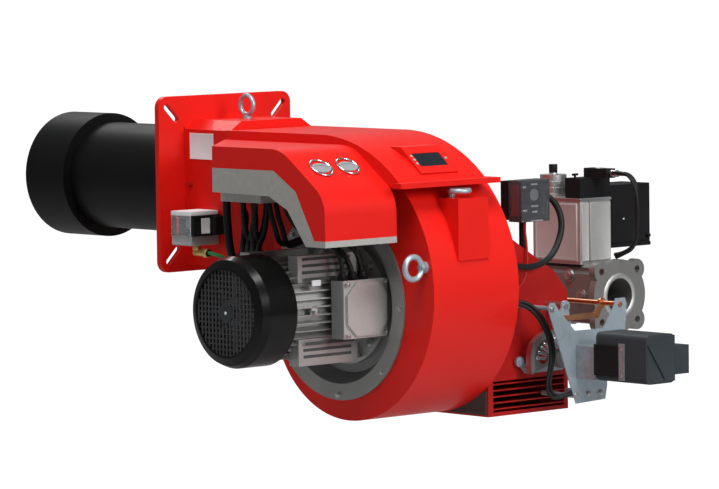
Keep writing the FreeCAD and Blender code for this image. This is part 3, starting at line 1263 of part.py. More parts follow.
rear_z0 = size("rear_switch_bottom")
rear_z1 = size("rear_switch_top")
body = block(rear_x0, rear_x1, rear_y - rear_half, rear_y + rear_half, rear_z0, rear_z1)
post = rod_z(size("nipple_radius"), rear_x0 + 30, rear_y, -size("inlet_slope_z"), rear_z0)
dial_x = rear_x1
dial2_z = rear_z1 - 34
rear_switch = fused([body, post]).cut(rod_x(15, rear_x1 - 5, rear_x1 + 1, rear_y, dial2_z))
rear_switch = rear_switch.cut(prism_x(inlet_loop(0), inlet_x0, inlet_x1))
keep("rear_switch", rear_switch)
keep("rear_dial", rod_x(14.7, rear_x1 - 4.7, rear_x1, rear_y, dial2_z).cut(
    block(rear_x1 - 2, rear_x1 + 1, rear_y - 11, rear_y + 11, dial2_z - 1.5, dial2_z + 1.5)))

# Lifting eyes
def lifting_eye(base, direction, ring_radius, section, across):
    turn = FreeCAD.Rotation(Vector(0, 0, 1), direction)
    collar = Part.makeCylinder(section * 2, section, Vector(0, 0, 0))
    neck = Part.makeCylinder(section * 1.25, section * 2.4, Vector(0, 0, 0))
    loop = Part.makeTorus(ring_radius, section, Vector(0, 0, section * 1.6 + ring_radius), across)
    eye = collar.fuse([neck, loop]).removeSplitter()
    eye.Placement = FreeCAD.Placement(base, turn)
    return eye


eyes = [lifting_eye(Vector(size("top_eye_x"), 0, size("duct_top")), Vector(0, 0, 1), size("eye_ring"),
                    size("eye_section"), Vector(0, 1, 0)),
        lifting_eye(Vector(size("side_eye_x"), near, size("side_eye_z")), Vector(0, -1, 0),
                    size("side_eye_ring"), size("side_eye_section"), Vector(1, 0, 0))]
flat_eye = Part.makeTorus(size("eye_ring"), size("eye_section"), Vector(0, 0, 0), Vector(0, 0, 1))
flat_stem = rod_z(9, -size("eye_ring") - 4, 0, size("boss_top") - size("rear_eye_z"), 4)
flat_shape = flat_eye.fuse(flat_stem).removeSplitter()
flat_shape.translate(Vector(size("rear_eye_x"), size("rear_eye_y") + 24, size("rear_eye_z")))
eyes.append(flat_shape)
keep("lifting_eyes", Part.makeCompound(eyes))

# Cables held along their whole run, straight pieces joined by tangent arcs
def cable(label, points, diameter):
    places = [Vector(*p) for p in points]
    bends = []
    for i in range(1, len(places) - 1):
        before = places[i - 1] - places[i]
        after = places[i + 1] - places[i]
        half_turn = (math.pi - before.getAngle(after)) / 2
        bends.append(0.45 * min(before.Length, after.Length) / math.tan(half_turn))
    path = rounded_edges(places, [0] + bends + [0])
    run = swept(path, diameter / 2, places[0], places[1] - places[0])
    length = sum(edge.Length for edge in path)
    section = math.pi * diameter ** 2 / 4
    print(label, "length %.0f" % length, "bends", ["%.0f" % b for b in bends],
          "volume ratio %.4f" % (run.Volume / (length * section)))
    keep(label, run)


cable("panel_cables", [(410, -256, -22), (410, -256, -120), (330, -215, -172), (262, -120, -172)],
      size("bundle_diameter"))
cable("motor_cable", [(600, -205, -6), (600, -205, -62), (672, -160, -110), (680, -150, -203)],
      size("cable_diameter"))
cable("valve_cable", [(size("coil_rear") + 50, gas_y, 8), (776, gas_y, 8), (776, gas_y, -174),
                      (704, gas_y, -202.5)], size("cable_diameter"))


# Every part checked and written as its own STEP file
doc.recompute()
for item in doc.Objects:
    if "Invalid" in item.State or "Error" in item.State:
        raise ValueError("not built: " + item.Name)
os.makedirs("parts", exist_ok=True)
for piece in parts_made:
    shape = piece.Shape
    if shape.isNull() or not shape.isValid():
        raise ValueError("not valid: " + piece.Label)
    shape.exportStep("parts/" + piece.Label + ".step")
print(len(parts_made), "parts written")
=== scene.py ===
import bpy
import bmesh
import json
import math
from mathutils import Matrix, Vector


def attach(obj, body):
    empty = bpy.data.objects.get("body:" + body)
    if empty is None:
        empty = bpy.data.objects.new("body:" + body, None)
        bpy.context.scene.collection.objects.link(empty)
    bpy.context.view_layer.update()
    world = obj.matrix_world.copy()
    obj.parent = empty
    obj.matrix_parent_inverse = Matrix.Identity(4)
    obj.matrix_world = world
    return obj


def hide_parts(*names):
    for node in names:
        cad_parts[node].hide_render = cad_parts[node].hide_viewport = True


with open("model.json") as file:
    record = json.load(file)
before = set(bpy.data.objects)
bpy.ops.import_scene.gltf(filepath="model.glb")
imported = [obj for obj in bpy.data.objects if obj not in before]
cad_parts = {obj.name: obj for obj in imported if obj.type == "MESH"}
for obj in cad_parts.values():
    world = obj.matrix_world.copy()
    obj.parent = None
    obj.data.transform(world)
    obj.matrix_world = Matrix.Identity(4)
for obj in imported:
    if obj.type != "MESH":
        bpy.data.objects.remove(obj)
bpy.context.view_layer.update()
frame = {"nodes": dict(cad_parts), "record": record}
nodes = frame["nodes"]
print("frame loaded:", len(nodes), "nodes")


# shader maths: a wrapped socket, so that an expression on it adds its Math nodes
class Wire:
    def __init__(self, tree, socket):
        self.tree = tree
        self.socket = socket

    def output(self, name):
        return Wire(self.tree, self.socket.node.outputs[name])

    def join(self, operation, first, second):
        return self.tree.add("ShaderNodeMath", {"operation": operation}, {0: first, 1: second})

    def __add__(self, other):
        return self.join("ADD", self, other)

    def __radd__(self, other):
        return self.join("ADD", other, self)

    def __sub__(self, other):
        return self.join("SUBTRACT", self, other)

    def __rsub__(self, other):
        return self.join("SUBTRACT", other, self)

    def __mul__(self, other):
        return self.join("MULTIPLY", self, other)

    def __rmul__(self, other):
        return self.join("MULTIPLY", other, self)

    def __gt__(self, other):
        return self.join("GREATER_THAN", self, other)

    def __lt__(self, other):
        return self.join("LESS_THAN", self, other)


class ShaderTree:
    # adds nodes to one tree, and links or sets what their sockets take
    def __init__(self, tree):
        self.tree = tree

    def put(self, socket, value):
        if isinstance(value, Wire):
            self.tree.links.new(value.socket, socket)
        elif isinstance(value, tuple) and socket.type == "RGBA":
            socket.default_value = (*value, 1)
        else:
            socket.default_value = value

    def add(self, kind, settings=None, values=None, output=0):
        node = self.tree.nodes.new(kind)
        for key, value in (settings or {}).items():
            setattr(node, key, value)
        for key, value in (values or {}).items():
            self.put(node.inputs[key], value)
        return Wire(self, node.outputs[output])


class Finish(ShaderTree):
    # one material with its Principled shader and the patterns that feed it
    def __init__(self, name, settings):
        self.material = bpy.data.materials.new(name)
        self.material.use_nodes = True
        super().__init__(self.material.node_tree)
        self.shader = self.tree.nodes["Principled BSDF"]
        for socket, value in settings.items():
            self.feed(socket, value)

    def feed(self, socket, value):
        self.put(self.shader.inputs[socket], value)

    def place(self, stretch=(1, 1, 1)):
        spot = self.add("ShaderNodeTexCoord", output="Object")
        return self.add("ShaderNodeMapping", {}, {"Vector": spot, "Scale": stretch})

    def noise(self, scale, detail=3.0, rough=0.55, stretch=(1, 1, 1)):
        return self.add("ShaderNodeTexNoise", {}, {"Vector": self.place(stretch), "Scale": scale,
                                                   "Detail": detail, "Roughness": rough})

    def cells(self, scale, output="Distance"):
        return self.add("ShaderNodeTexVoronoi", {}, {"Vector": self.place(), "Scale": scale}, output)

    def blendColour(self, factor, first, second):
        return self.add("ShaderNodeMix", {"data_type": "RGBA"}, {0: factor, 6: first, 7: second}, output=2)

    def bump(self, height, strength, distance):
        normal = self.add("ShaderNodeBump", {}, {"Height": height, "Strength": strength,
                                                 "Distance": distance})
        self.feed("Normal", normal)


plainGloss = 0.5  # the shader's own level, where a look names none


def paintFinish(name, look):
    # sprayed paint: orange peel, faint dust and a little colour drift
    finish = Finish(name, {"Metallic": 0.0, "Coat Weight": look["coat"], "Coat Roughness": 0.10,
                           "Specular IOR Level": look.get("gloss", plainGloss)})
    drift = finish.noise(look["driftScale"], detail=4.0)
    dust = finish.noise(38, detail=6.0, rough=0.7)
    specks = (dust > 0.66) * 0.10
    shade = finish.blendColour(drift * 0.9, look["colour"], look["shadeColour"])
    finish.feed("Base Color", finish.blendColour(specks, shade, look["dustColour"]))
    finish.feed("Roughness", look["rough"] + drift * 0.10 + dust * 0.06)
    peel = finish.noise(look["peelScale"], detail=2.0)
    finish.bump(peel, look["peel"], distance=0.0006)
    return finish.material


def castFinish(name, look):
    # cast metal: grainy skin, cloudy tone
    finish = Finish(name, {"Metallic": look["metal"]})
    cloud = finish.noise(14, detail=5.0, rough=0.6)
    grain = finish.noise(look["grainScale"], detail=4.0, rough=0.7)
    cells = finish.cells(look["grainScale"] * 0.6)
    pits = (cells < 0.22) * 0.25
    tone = finish.blendColour(cloud, look["colour"], look["shadeColour"])
    finish.feed("Base Color", finish.blendColour(pits, tone, look["pitColour"]))
    finish.feed("Roughness", look["rough"] + grain * 0.22)
    finish.bump(grain * 0.6 + cells * 0.4, look["skin"], distance=0.0008)
    return finish.material


def bowlFinish(name, look):
    # the motor plate: a bare cast rim round a bowl painted darker, as painted shade
    finish = Finish(name, {"Metallic": look["metal"]})
    spot = finish.add("ShaderNodeSeparateXYZ", {}, {"Vector": finish.place()})
    across = spot.output("X") - look["axisX"]
    upward = spot.output("Z") - look["axisZ"]
    rim = (across * across + upward * upward) > look["bowlRadius"] ** 2
    grain = finish.noise(look["grainScale"], detail=4.0, rough=0.7)
    cloud = finish.noise(14, detail=5.0, rough=0.6)
    tone = finish.blendColour(cloud, look["colour"], look["shadeColour"])
    # painted shade: inside the rim the bowl takes its flat darker colour
    finish.feed("Base Color", finish.blendColour(rim, look["bowlShadeColour"], tone))
    finish.feed("Roughness", look["rough"] + grain * 0.22)
    finish.bump(grain, look["skin"], distance=0.0008)
    return finish.material


def zincFinish(name, look):
    # galvanised sheet: flat spangles that differ in tone and gloss
    finish = Finish(name, {"Metallic": look["metal"]})
    spangle = finish.cells(look["spangle"], output="Color")
    tone = finish.add("ShaderNodeSeparateColor", {}, {"Color": spangle})
    haze = finish.noise(22, detail=4.0)
    finish.feed("Base Color", finish.blendColour(tone * 0.6 + haze * 0.4, look["colour"],
                                                 look["shadeColour"]))
    finish.feed("Roughness", look["rough"] + tone * 0.16 + haze * 0.12)
    finish.bump(haze, strength=0.12, distance=0.0005)
    return finish.material


def brushedFinish(name, look):
    # turned or rolled metal: fine lines along the piece
    finish = Finish(name, {"Metallic": 1.0})
    lines = finish.noise(look["lineScale"], rough=0.6, stretch=look["stretch"])
    smear = finish.noise(17, detail=4.0)
    finish.feed("Base Color", finish.blendColour(lines * 0.5 + smear * 0.4, look["colour"],
                                                 look["shadeColour"]))
    finish.feed("Roughness", look["rough"] + lines * 0.14 + smear * 0.08)
    finish.bump(lines, look["line"], distance=0.0004)
    return finish.material


def mouldedFinish(name, look):
    # moulded plastic or rubber: fine grain, slight bloom
    finish = Finish(name, {"Metallic": 0.0, "Specular IOR Level": look.get("gloss", plainGloss)})
    grain = finish.noise(look["grainScale"])
    bloom = finish.noise(26, detail=5.0, rough=0.65)
    finish.feed("Base Color", finish.blendColour(bloom * look["bloom"], look["colour"], look["bloomColour"]))
    finish.feed("Roughness", look["rough"] + grain * 0.12 + bloom * 0.08)
    finish.bump(grain, look["grain"], distance=0.0004)
    return finish.material


def clearFinish(name, look):
    # moulded clear plastic, faintly smoky, with soft scratches
    finish = Finish(name, {"Base Color": look["colour"], "Transmission Weight": look["clear"],
                           "IOR": look["ior"]})
    haze = finish.noise(60, detail=4.0)
    finish.feed("Roughness", look["rough"] + haze * 0.08)
    finish.bump(haze, strength=0.05, distance=0.0004)
    return finish.material


# looks: linear colours, pattern scales per metre, bump strengths
red = {"colour": (0.84, 0.013, 0.007), "shadeColour": (0.74, 0.009, 0.006), "dustColour": (0.82, 0.06, 0.04),
       "rough": 0.33, "coat": 0.10, "gloss": 0.22, "driftScale": 5.0, "peelScale": 420, "peel": 0.08}
# painted shade: the red paint made darker for red surfaces in shade, such as the air box's underside
shadedRed = dict(red, colour=(0.50, 0.010, 0.008), shadeColour=(0.38, 0.008, 0.006))
tubeBlack = {"colour": (0.003, 0.003, 0.0035), "shadeColour": (0.006, 0.006, 0.0065),
             "dustColour": (0.03, 0.028, 0.026), "rough": 0.38, "coat": 0.03, "gloss": 0.16,
             "driftScale": 9.0, "peelScale": 520, "peel": 0.14}
cowlBlack = dict(tubeBlack, colour=(0.003, 0.003, 0.003), shadeColour=(0.006, 0.006, 0.006), rough=0.16,
                 coat=0.16, gloss=0.16)
aluminium = {"colour": (0.62, 0.62, 0.60), "shadeColour": (0.44, 0.44, 0.43), "pitColour": (0.25, 0.25, 0.24),
             "metal": 0.85, "rough": 0.34, "grainScale": 260, "skin": 0.35}
darkCast = dict(aluminium, colour=(0.36, 0.355, 0.34), shadeColour=(0.25, 0.245, 0.235), metal=0.7)
# the motor plate's bowl colour is painted shade, used inside bowlRadius round the fan's axis
plateCast = dict(aluminium, colour=(0.40, 0.40, 0.39), shadeColour=(0.28, 0.28, 0.275), metal=0.6,
                 bowlShadeColour=(0.26, 0.26, 0.265), bowlRadius=0.197, axisX=0.536, axisZ=-0.274)
guardGrey = dict(tubeBlack, colour=(0.085, 0.085, 0.085), shadeColour=(0.06, 0.06, 0.06), rough=0.3)
zinc = {"colour": (0.52, 0.60, 0.66), "shadeColour": (0.42, 0.50, 0.56), "rough": 0.26, "spangle": 70,
        "metal": 0.6}
trayGrey = dict(zinc, colour=(0.50, 0.49, 0.46), shadeColour=(0.43, 0.42, 0.39), rough=0.42, metal=0.3)
gearboxZinc = dict(zinc, colour=(0.40, 0.42, 0.45), shadeColour=(0.27, 0.29, 0.31), rough=0.32)
steel = {"colour": (0.62, 0.62, 0.62), "shadeColour": (0.42, 0.42, 0.43), "rough": 0.24, "lineScale": 60,
         "stretch": (1, 14, 14), "line": 0.10}
copper = dict(steel, colour=(0.80, 0.40, 0.22), shadeColour=(0.52, 0.22, 0.11))
chrome = dict(steel, colour=(0.86, 0.86, 0.87), shadeColour=(0.74, 0.74, 0.75), rough=0.05, line=0.03,
              stretch=(8, 8, 1))
blackPlastic = {"colour": (0.008, 0.008, 0.009), "bloomColour": (0.020, 0.020, 0.021), "bloom": 0.5,
                "rough": 0.36, "gloss": 0.14, "grainScale": 650, "grain": 0.16}
slotShade = dict(blackPlastic, colour=(0.07, 0.07, 0.07), bloomColour=(0.12, 0.118, 0.112), rough=0.6)
slate = dict(blackPlastic, colour=(0.036, 0.044, 0.050), bloomColour=(0.055, 0.065, 0.072), rough=0.42)
greyPlastic = dict(blackPlastic, gloss=0.4, colour=(0.40, 0.41, 0.41), bloomColour=(0.52, 0.52, 0.50))
rubber = dict(blackPlastic, colour=(0.006, 0.006, 0.007), bloomColour=(0.016, 0.016, 0.016), rough=0.40,
              gloss=0.3)
screenGloss = dict(blackPlastic, colour=(0.012, 0.016, 0.022), bloomColour=(0.03, 0.04, 0.05), rough=0.08,
                   grain=0.02)
paperWhite = dict(blackPlastic, colour=(0.92, 0.92, 0.94), bloomColour=(0.80, 0.81, 0.84), rough=0.5)
knurl = dict(steel, colour=(0.80, 0.80, 0.80), shadeColour=(0.48, 0.48, 0.48), rough=0.30, line=0.5,
             stretch=(12, 12, 1))
smokedPlastic = {"colour": (0.36, 0.37, 0.40), "rough": 0.08, "clear": 0.85, "ior": 1.45}
brass = dict(steel, colour=(0.78, 0.56, 0.22), shadeColour=(0.55, 0.36, 0.12))
greenTube = dict(blackPlastic, colour=(0.03, 0.30, 0.10), bloomColour=(0.05, 0.36, 0.14), rough=0.3)
windowGlass = dict(blackPlastic, colour=(0.30, 0.31, 0.33), bloomColour=(0.42, 0.43, 0.45), rough=0.12,
                   gloss=0.5)
coilPaint = dict(aluminium, colour=(0.66, 0.66, 0.63), shadeColour=(0.56, 0.56, 0.54), metal=0.5, skin=0.12,
                 rough=0.36)
clearCover = {"colour": (0.72, 0.76, 0.78), "rough": 0.10, "clear": 0.82, "ior": 1.45}


finishes = {
    "brass": brushedFinish("brassFitting", brass),
    "greenTube": mouldedFinish("greenTube", greenTube),
    "slate": mouldedFinish("slatePlastic", slate),
    "slotShade": mouldedFinish("slotShade", slotShade),
    "windowGlass": mouldedFinish("windowGlass", windowGlass),
    "trayGrey": zincFinish("trayGrey", trayGrey),
    "gearboxZinc": zincFinish("gearboxZinc", gearboxZinc),
    "knurl": brushedFinish("knurledSteel", knurl),
    "darkCast": castFinish("darkCast", darkCast),
    "plateCast": bowlFinish("plateCast", plateCast),
    "smokedPlastic": clearFinish("smokedPlastic", smokedPlastic),
    "coilPaint": castFinish("coilPaint", coilPaint),
    "clearCover": clearFinish("clearCover", clearCover),
    "paperWhite": mouldedFinish("paperWhite", paperWhite),
    "red_paint": paintFinish("redPaint", red),
    # painted shade: the darker red, under the record's dark red slot
    "dark_red_paint": paintFinish("shadedRedPaint", shadedRed),
    "black_steel": paintFinish("tubeBlack", tubeBlack),
    "cowlBlack": paintFinish("cowlBlack", cowlBlack),
    "guardGrey": paintFinish("guardGrey", guardGrey),
    "black_plastic": mouldedFinish("blackPlastic", blackPlastic),
    "cast_aluminium": castFinish("castAluminium", aluminium),
    "zinc_steel": zincFinish("zincSteel", zinc),
    "steel": brushedFinish("brushedSteel", steel),
    "chrome": brushedFinish("chrome", chrome),
    "copper": brushedFinish("copper", copper),
    "grey_plastic": mouldedFinish("greyPlastic", greyPlastic),
    "display": mouldedFinish("displayGloss", screenGloss),
    "black_rubber": mouldedFinish("blackRubber", rubber),
}

# each frame node wears its slot's finish, or one of its own
slotOf = {entry["node"]: entry["material_slot"] for entry in frame["record"]["subparts"]}
nodeFinish = {"fan_cowl": "cowlBlack", "cowl_guard": "guardGrey", "panel_tray": "trayGrey",
              "servo_gearbox": "gearboxZinc", "servo_drive": "slate", "rear_switch": "black_plastic",
              "gas_regulator": "knurl", "panel_windows": "windowGlass", "motor_plate": "plateCast",
              "gas_valve": "darkCast", "cam_disc": "darkCast", "terminal_lid": "coilPaint",
              "cooling_fan": "steel"}
for name, node in nodes.items():
    choice = nodeFinish.get(name, slotOf[name])
    if not node.material_slots:
        node.data.materials.append(finishes[choice])
    for materialSlot in node.material_slots:
        materialSlot.material = finishes[choice]
print("finishes given to the frame's nodes")


# camera, floor and lights
view = {
    "right": Vector((0.67693577, 0.73593091, -0.01279259)),
    "up": Vector((-0.04598684, 0.05963386, 0.99716047)),
    "back": Vector((0.73460409, -0.67442531, 0.07421143)),
    "place": Vector((8.96173171, -7.75973479, 0.7155805)),
    "lens": 235.049, "sensor": 36, "clipEnd": 100,
}
cameraData = bpy.data.cameras.new("photoCamera")
cameraData.lens = view["lens"]
cameraData.sensor_width = view["sensor"]
cameraData.clip_end = view["clipEnd"]
camera = bpy.data.objects.new("photoCamera", cameraData)
bpy.context.scene.collection.objects.link(camera)
turned = Matrix((view["right"], view["up"], view["back"])).transposed()
camera.matrix_world = Matrix.Translation(view["place"]) @ turned.to_4x4()
bpy.context.scene.camera = camera

studio = {
    "worldColour": (0.90, 0.92, 0.95), "worldStrength": 0.20,
    "floorHeight": -0.95, "floorSize": 40, "floorColour": (0.50, 0.50, 0.50), "floorRough": 0.9,
    "floorShare": 0.75, "floorStrength": 1.34,
    "lampTarget": Vector((0.3, 0, -0.15)),
    "lamps": [
        ("keyLamp", (2.2, -1.3, 4.4), 2.6, 185, (1.0, 0.99, 0.97)),
        ("sideLamp", (5.2, 0.6, 1.8), 2.2, 125, (0.98, 0.99, 1.0)),
        ("nearLamp", (-1.4, -3.4, 3.0), 1.8, 14, (1.0, 1.0, 1.0)),
        ("farLamp", (-2.8, 1.6, 3.4), 2.4, 70, (1.0, 1.0, 1.0)),
    ],
}


def whiteForCamera(tree, plain, output, glow, share=1.0, strength=1.0):
    # the camera and clear plastic see plain white here, and light on the object stays as it is
    shaders = ShaderTree(tree)
    cameraRay = shaders.add("ShaderNodeLightPath", output="Is Camera Ray")
    seen = shaders.add("ShaderNodeMath", {"operation": "MAXIMUM"},
                       {0: cameraRay, 1: cameraRay.output("Is Transmission Ray")})
    white = shaders.add(glow, {}, {"Color": (1, 1, 1), "Strength": strength})
    mixed = shaders.add("ShaderNodeMixShader", {}, {0: seen * share, 1: Wire(shaders, plain), 2: white})
    shaders.put(output.inputs["Surface"], mixed)


world = bpy.data.worlds.new("studioWorld")
bpy.context.scene.world = world
world.use_nodes = True
worldPlain = world.node_tree.nodes["Background"]
worldPlain.inputs["Color"].default_value = (*studio["worldColour"], 1)
worldPlain.inputs["Strength"].default_value = studio["worldStrength"]
whiteForCamera(world.node_tree, worldPlain.outputs[0], world.node_tree.nodes["World Output"],
               "ShaderNodeBackground")

bpy.ops.object.select_all(action="DESELECT")
bpy.ops.mesh.primitive_plane_add(size=studio["floorSize"], location=(0, 0, studio["floorHeight"]))
floor = bpy.context.object
floor.name = "studioFloor"
floorMaterial = bpy.data.materials.new("floorPale")
floorMaterial.use_nodes = True
floorTree = floorMaterial.node_tree
floorShader = floorTree.nodes["Principled BSDF"]
floorShader.inputs["Base Color"].default_value = (*studio["floorColour"], 1)
floorShader.inputs["Roughness"].default_value = studio["floorRough"]
floor.data.materials.append(floorMaterial)
whiteForCamera(floorTree, floorShader.outputs[0], floorTree.nodes["Material Output"], "ShaderNodeEmission",
               studio["floorShare"], studio["floorStrength"])
for lampName, place, size, power, tint in studio["lamps"]:
    lampData = bpy.data.lights.new(lampName, "AREA")
    lampData.shape = "DISK"
    lampData.size = size
    lampData.energy = power
    lampData.color = tint
    lamp = bpy.data.objects.new(lampName, lampData)
    bpy.context.scene.collection.objects.link(lamp)
    lamp.location = place
    lamp.rotation_euler = (studio["lampTarget"] - Vector(place)).to_track_quat("-Z", "Y").to_euler()
bpy.context.scene.view_settings.view_transform = "Standard"
print("camera, floor and lamps ready")


# making pieces with mesh tools, with places and sizes in millimetres
def clearPick():
    if bpy.context.object and bpy.context.object.mode != "OBJECT":
        bpy.ops.object.mode_set(mode="OBJECT")
    bpy.ops.object.select_all(action="DESELECT")


def pickOnly(piece):
    clearPick()
    piece.select_set(True)
    bpy.context.view_layer.objects.active = piece


def startBlock(name, low, high):
    clearPick()
    middle = [(a + b) / 2000 for a, b in zip(low, high)]  # half, in metres
    bpy.ops.mesh.primitive_cube_add(size=1, location=middle)
    piece = bpy.context.object
    piece.name = name
    piece.scale = [(b - a) / 1000 for a, b in zip(low, high)]
    bpy.ops.object.transform_apply(location=True, rotation=True, scale=True)
    return piece


turnTo = {"x": (0, math.pi / 2, 0), "y": (-math.pi / 2, 0, 0), "z": (0, 0, 0)}


def startRound(name, along, across, low, high, radius, sides=24, tip=None):
    # a turned piece from low to high along one axis, at its place across the other two
    clearPick()
    place = dict(zip([axis for axis in "xyz" if axis != along], across))
    place[along] = (low + high) / 2
    spot = [place[axis] / 1000 for axis in "xyz"]
    bpy.ops.mesh.primitive_cone_add(vertices=sides, radius1=radius / 1000, radius2=(tip or radius) / 1000,
                                    depth=(high - low) / 1000, location=spot, rotation=turnTo[along])
    piece = bpy.context.object
    piece.name = name
    bpy.ops.object.transform_apply(location=True, rotation=True, scale=True)
    return piece


def pickFaces(piece, wanted):
    pickOnly(piece)
    bpy.ops.object.mode_set(mode="EDIT")
    bpy.ops.mesh.select_mode(type="FACE")
    bpy.ops.mesh.select_all(action="DESELECT")
    shape = bmesh.from_edit_mesh(piece.data)
    for face in shape.faces:
        if wanted(face.normal, face.calc_center_median()):
            face.select_set(True)
    bmesh.update_edit_mesh(piece.data)


def facing(side):
    # picks the faces that look along one axis, such as "-y"
    axis = "xyz".index(side[1])
    sign = -1 if side[0] == "-" else 1
    return lambda normal, spot: normal[axis] * sign > 0.9


def insetPicked(width, depth, slope=0.2):
    # a border of this width, then a face that is sunk or raised by the depth
    bpy.ops.mesh.inset(thickness=width / 1000, depth=0)
    if depth:
        bpy.ops.mesh.inset(thickness=slope / 1000, depth=depth / 1000)
    bpy.ops.object.mode_set(mode="OBJECT")


def bevelled(piece, width, segments=2, angle=35):
    pickOnly(piece)
    rounding = piece.modifiers.new("rounding", "BEVEL")
    rounding.width = width / 1000
    rounding.segments = segments
    rounding.limit_method = "ANGLE"
    rounding.angle_limit = math.radians(angle)
    bpy.ops.object.modifier_apply(modifier=rounding.name)
    return piece


def joinPieces(name, pieces):
    clearPick()
    for piece in pieces:
        piece.select_set(True)
    bpy.context.view_layer.objects.active = pieces[0]
    if len(pieces) > 1:
        bpy.ops.object.join()
    joined = bpy.context.object
    joined.name = name
    return joined


# the record's slot for each finish that isn't named as a slot itself
slotFor = {"paperWhite": "grey_plastic", "smokedPlastic": "grey_plastic", "clearCover": "grey_plastic",
           "slate": "black_plastic", "slotShade": "black_plastic", "greenTube": "black_rubber",
           "brass": "copper", "knurl": "steel", "gearboxZinc": "zinc_steel", "coilPaint": "cast_aluminium"}
smoothAngle = math.radians(32)


def settle(piece, finish, body="burner", slotName=None):
    # gives a piece its finish and the body it rides
    piece.data.materials.clear()
    piece.data.materials.append(finishes[finish])
    slotName = slotName or slotFor.get(finish, finish)
    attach(piece, body)
    return piece


def finishPiece(piece, finish, body="burner", slotName=None):
    pickOnly(piece)
    bpy.ops.object.shade_smooth_by_angle(angle=smoothAngle)
    return settle(piece, finish, body, slotName)


def panelBlock(name, look):
    # a moulded or pressed box with a stepped face and rounded edges
    piece = startBlock(name, look["low"], look["high"])
    pickFaces(piece, facing(look["side"]))
    insetPicked(look["border"], look["step"])
    bevelled(piece, look["round"], look.get("rings", 2))
    return finishPiece(piece, look["finish"])


def copyTo(piece, matrix, name):
    twin = piece.copy()
    twin.data = piece.data.copy()
    twin.name = name
    bpy.context.scene.collection.objects.link(twin)
    twin.data.transform(matrix)
    return twin


boltShape = {"washer": 1.6, "washerEdge": 0.3, "headFrom": 1.5, "headEdge": 0.6, "crown": 0.5,
             "crownShare": 0.16, "angle": 40, "twist": 0.4}


def hexBolt(name, radius, height, washer):
    # a screw head with washer standing on z = 0, made once and copied
    low = boltShape["headFrom"]
    head = startRound(name, "z", (0, 0), low, low + height, radius, sides=6)
    pickFaces(head, facing("+z"))
    insetPicked(radius * boltShape["crownShare"], boltShape["crown"])
    bevelled(head, boltShape["headEdge"], angle=boltShape["angle"])
    plate = startRound(name + "Washer", "z", (0, 0), 0, boltShape["washer"], washer, sides=28)
    bevelled(plate, boltShape["washerEdge"], segments=1, angle=boltShape["angle"])
    return joinPieces(name, [head, plate])


def placeMatrix(place, outward, twist=0.0):
    turn = Vector(outward).to_track_quat("Z", "Y").to_matrix().to_4x4()
    return Matrix.Translation(Vector(place) / 1000) @ turn @ Matrix.Rotation(twist, 4, "Z")


def boltSet(name, look):
    source = hexBolt(name + "Source", look["radius"], look["height"], look["washer"])
    twins = []
    for number, place in enumerate(look["places"]):
        matrix = placeMatrix(place, look["outward"], boltShape["twist"] * number)
        twins.append(copyTo(source, matrix, name + str(number)))
    bpy.data.objects.remove(source, do_unlink=True)
    return finishPiece(joinPieces(name, twins), look.get("finish", "steel"))


def ringOf(centre, look):
    # places on a circle, as pairs of across and up
    angles = [2 * math.pi * number / look["count"] + look["start"] for number in range(look["count"])]
    return [(centre[0] + look["ring"] * math.cos(angle), centre[1] + look["ring"] * math.sin(angle))
            for angle in angles]


cableShape = {"roundness": 4, "steps": 10, "order": 3}


def drawnCable(name, look):
    # a cable held at both ends, drawn as one smooth spline
    line = bpy.data.curves.new(name, "CURVE")
    line.dimensions = "3D"
    line.bevel_depth = look["thickness"] / 2000
    line.bevel_resolution = cableShape["roundness"]
    line.use_fill_caps = True
    line.resolution_u = cableShape["steps"]
    spline = line.splines.new("NURBS")
    spline.points.add(len(look["route"]) - 1)
    for point, spot in zip(spline.points, look["route"]):
        point.co = (spot[0] / 1000, spot[1] / 1000, spot[2] / 1000, 1)
    spline.order_u = cableShape["order"]
    spline.use_endpoint_u = True
    piece = bpy.data.objects.new(name, line)
    bpy.context.scene.collection.objects.link(piece)
    return settle(piece, look.get("finish", "black_rubber"))


# screws round the motor plate and the motor's own flange, about the fan's axis
fanAxis = (536, -274)
plateBolts = {"ring": 224, "face": -100.7, "count": 8, "start": math.pi / 2, "outward": (0, -1, 0),
              "radius": 6.2, "height": 4.5, "washer": 8.5}
plateBolts["places"] = [(x, plateBolts["face"], z) for x, z in ringOf(fanAxis, plateBolts)]
plateScrewHeads = boltSet("plateScrewHeads", plateBolts)
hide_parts("plate_screws")
flangeBolts = {"ring": 132, "face": -76, "count": 4, "start": math.pi / 4, "outward": (0, -1, 0),
               "radius": 9, "height": 7, "washer": 12}
flangeBolts["places"] = [(x, flangeBolts["face"], z) for x, z in ringOf(fanAxis, flangeBolts)]
boltSet("motorFlangeBolts", flangeBolts)
print("motor plate screws placed")

# ribs on the motor's two foot pads, seated on the widest part of the frame at each level
padRibs = {"levels": (-150, -166, -182, -198, -352, -368, -384), "height": 7, "near": -306, "far": -152,
           "sunk": 2, "proud": 1, "beside": 0.03, "border": 1.4, "step": -0.5, "round": 0.3}
ribPieces = []
for z in padRibs["levels"]:
    beside = [corner.co.x for corner in nodes["motor_frame"].data.vertices
              if abs(corner.co.z - z / 1000) < padRibs["beside"]]
    face = max(beside) * 1000
    rib = startBlock("padRib", (face - padRibs["sunk"], padRibs["near"], z - padRibs["height"] / 2),
                     (face + padRibs["proud"], padRibs["far"], z + padRibs["height"] / 2))
    pickFaces(rib, facing("+x"))
    insetPicked(padRibs["border"], padRibs["step"])
    ribPieces.append(bevelled(rib, padRibs["round"], segments=1))
finishPiece(joinPieces("padRibs", ribPieces), "slotShade")

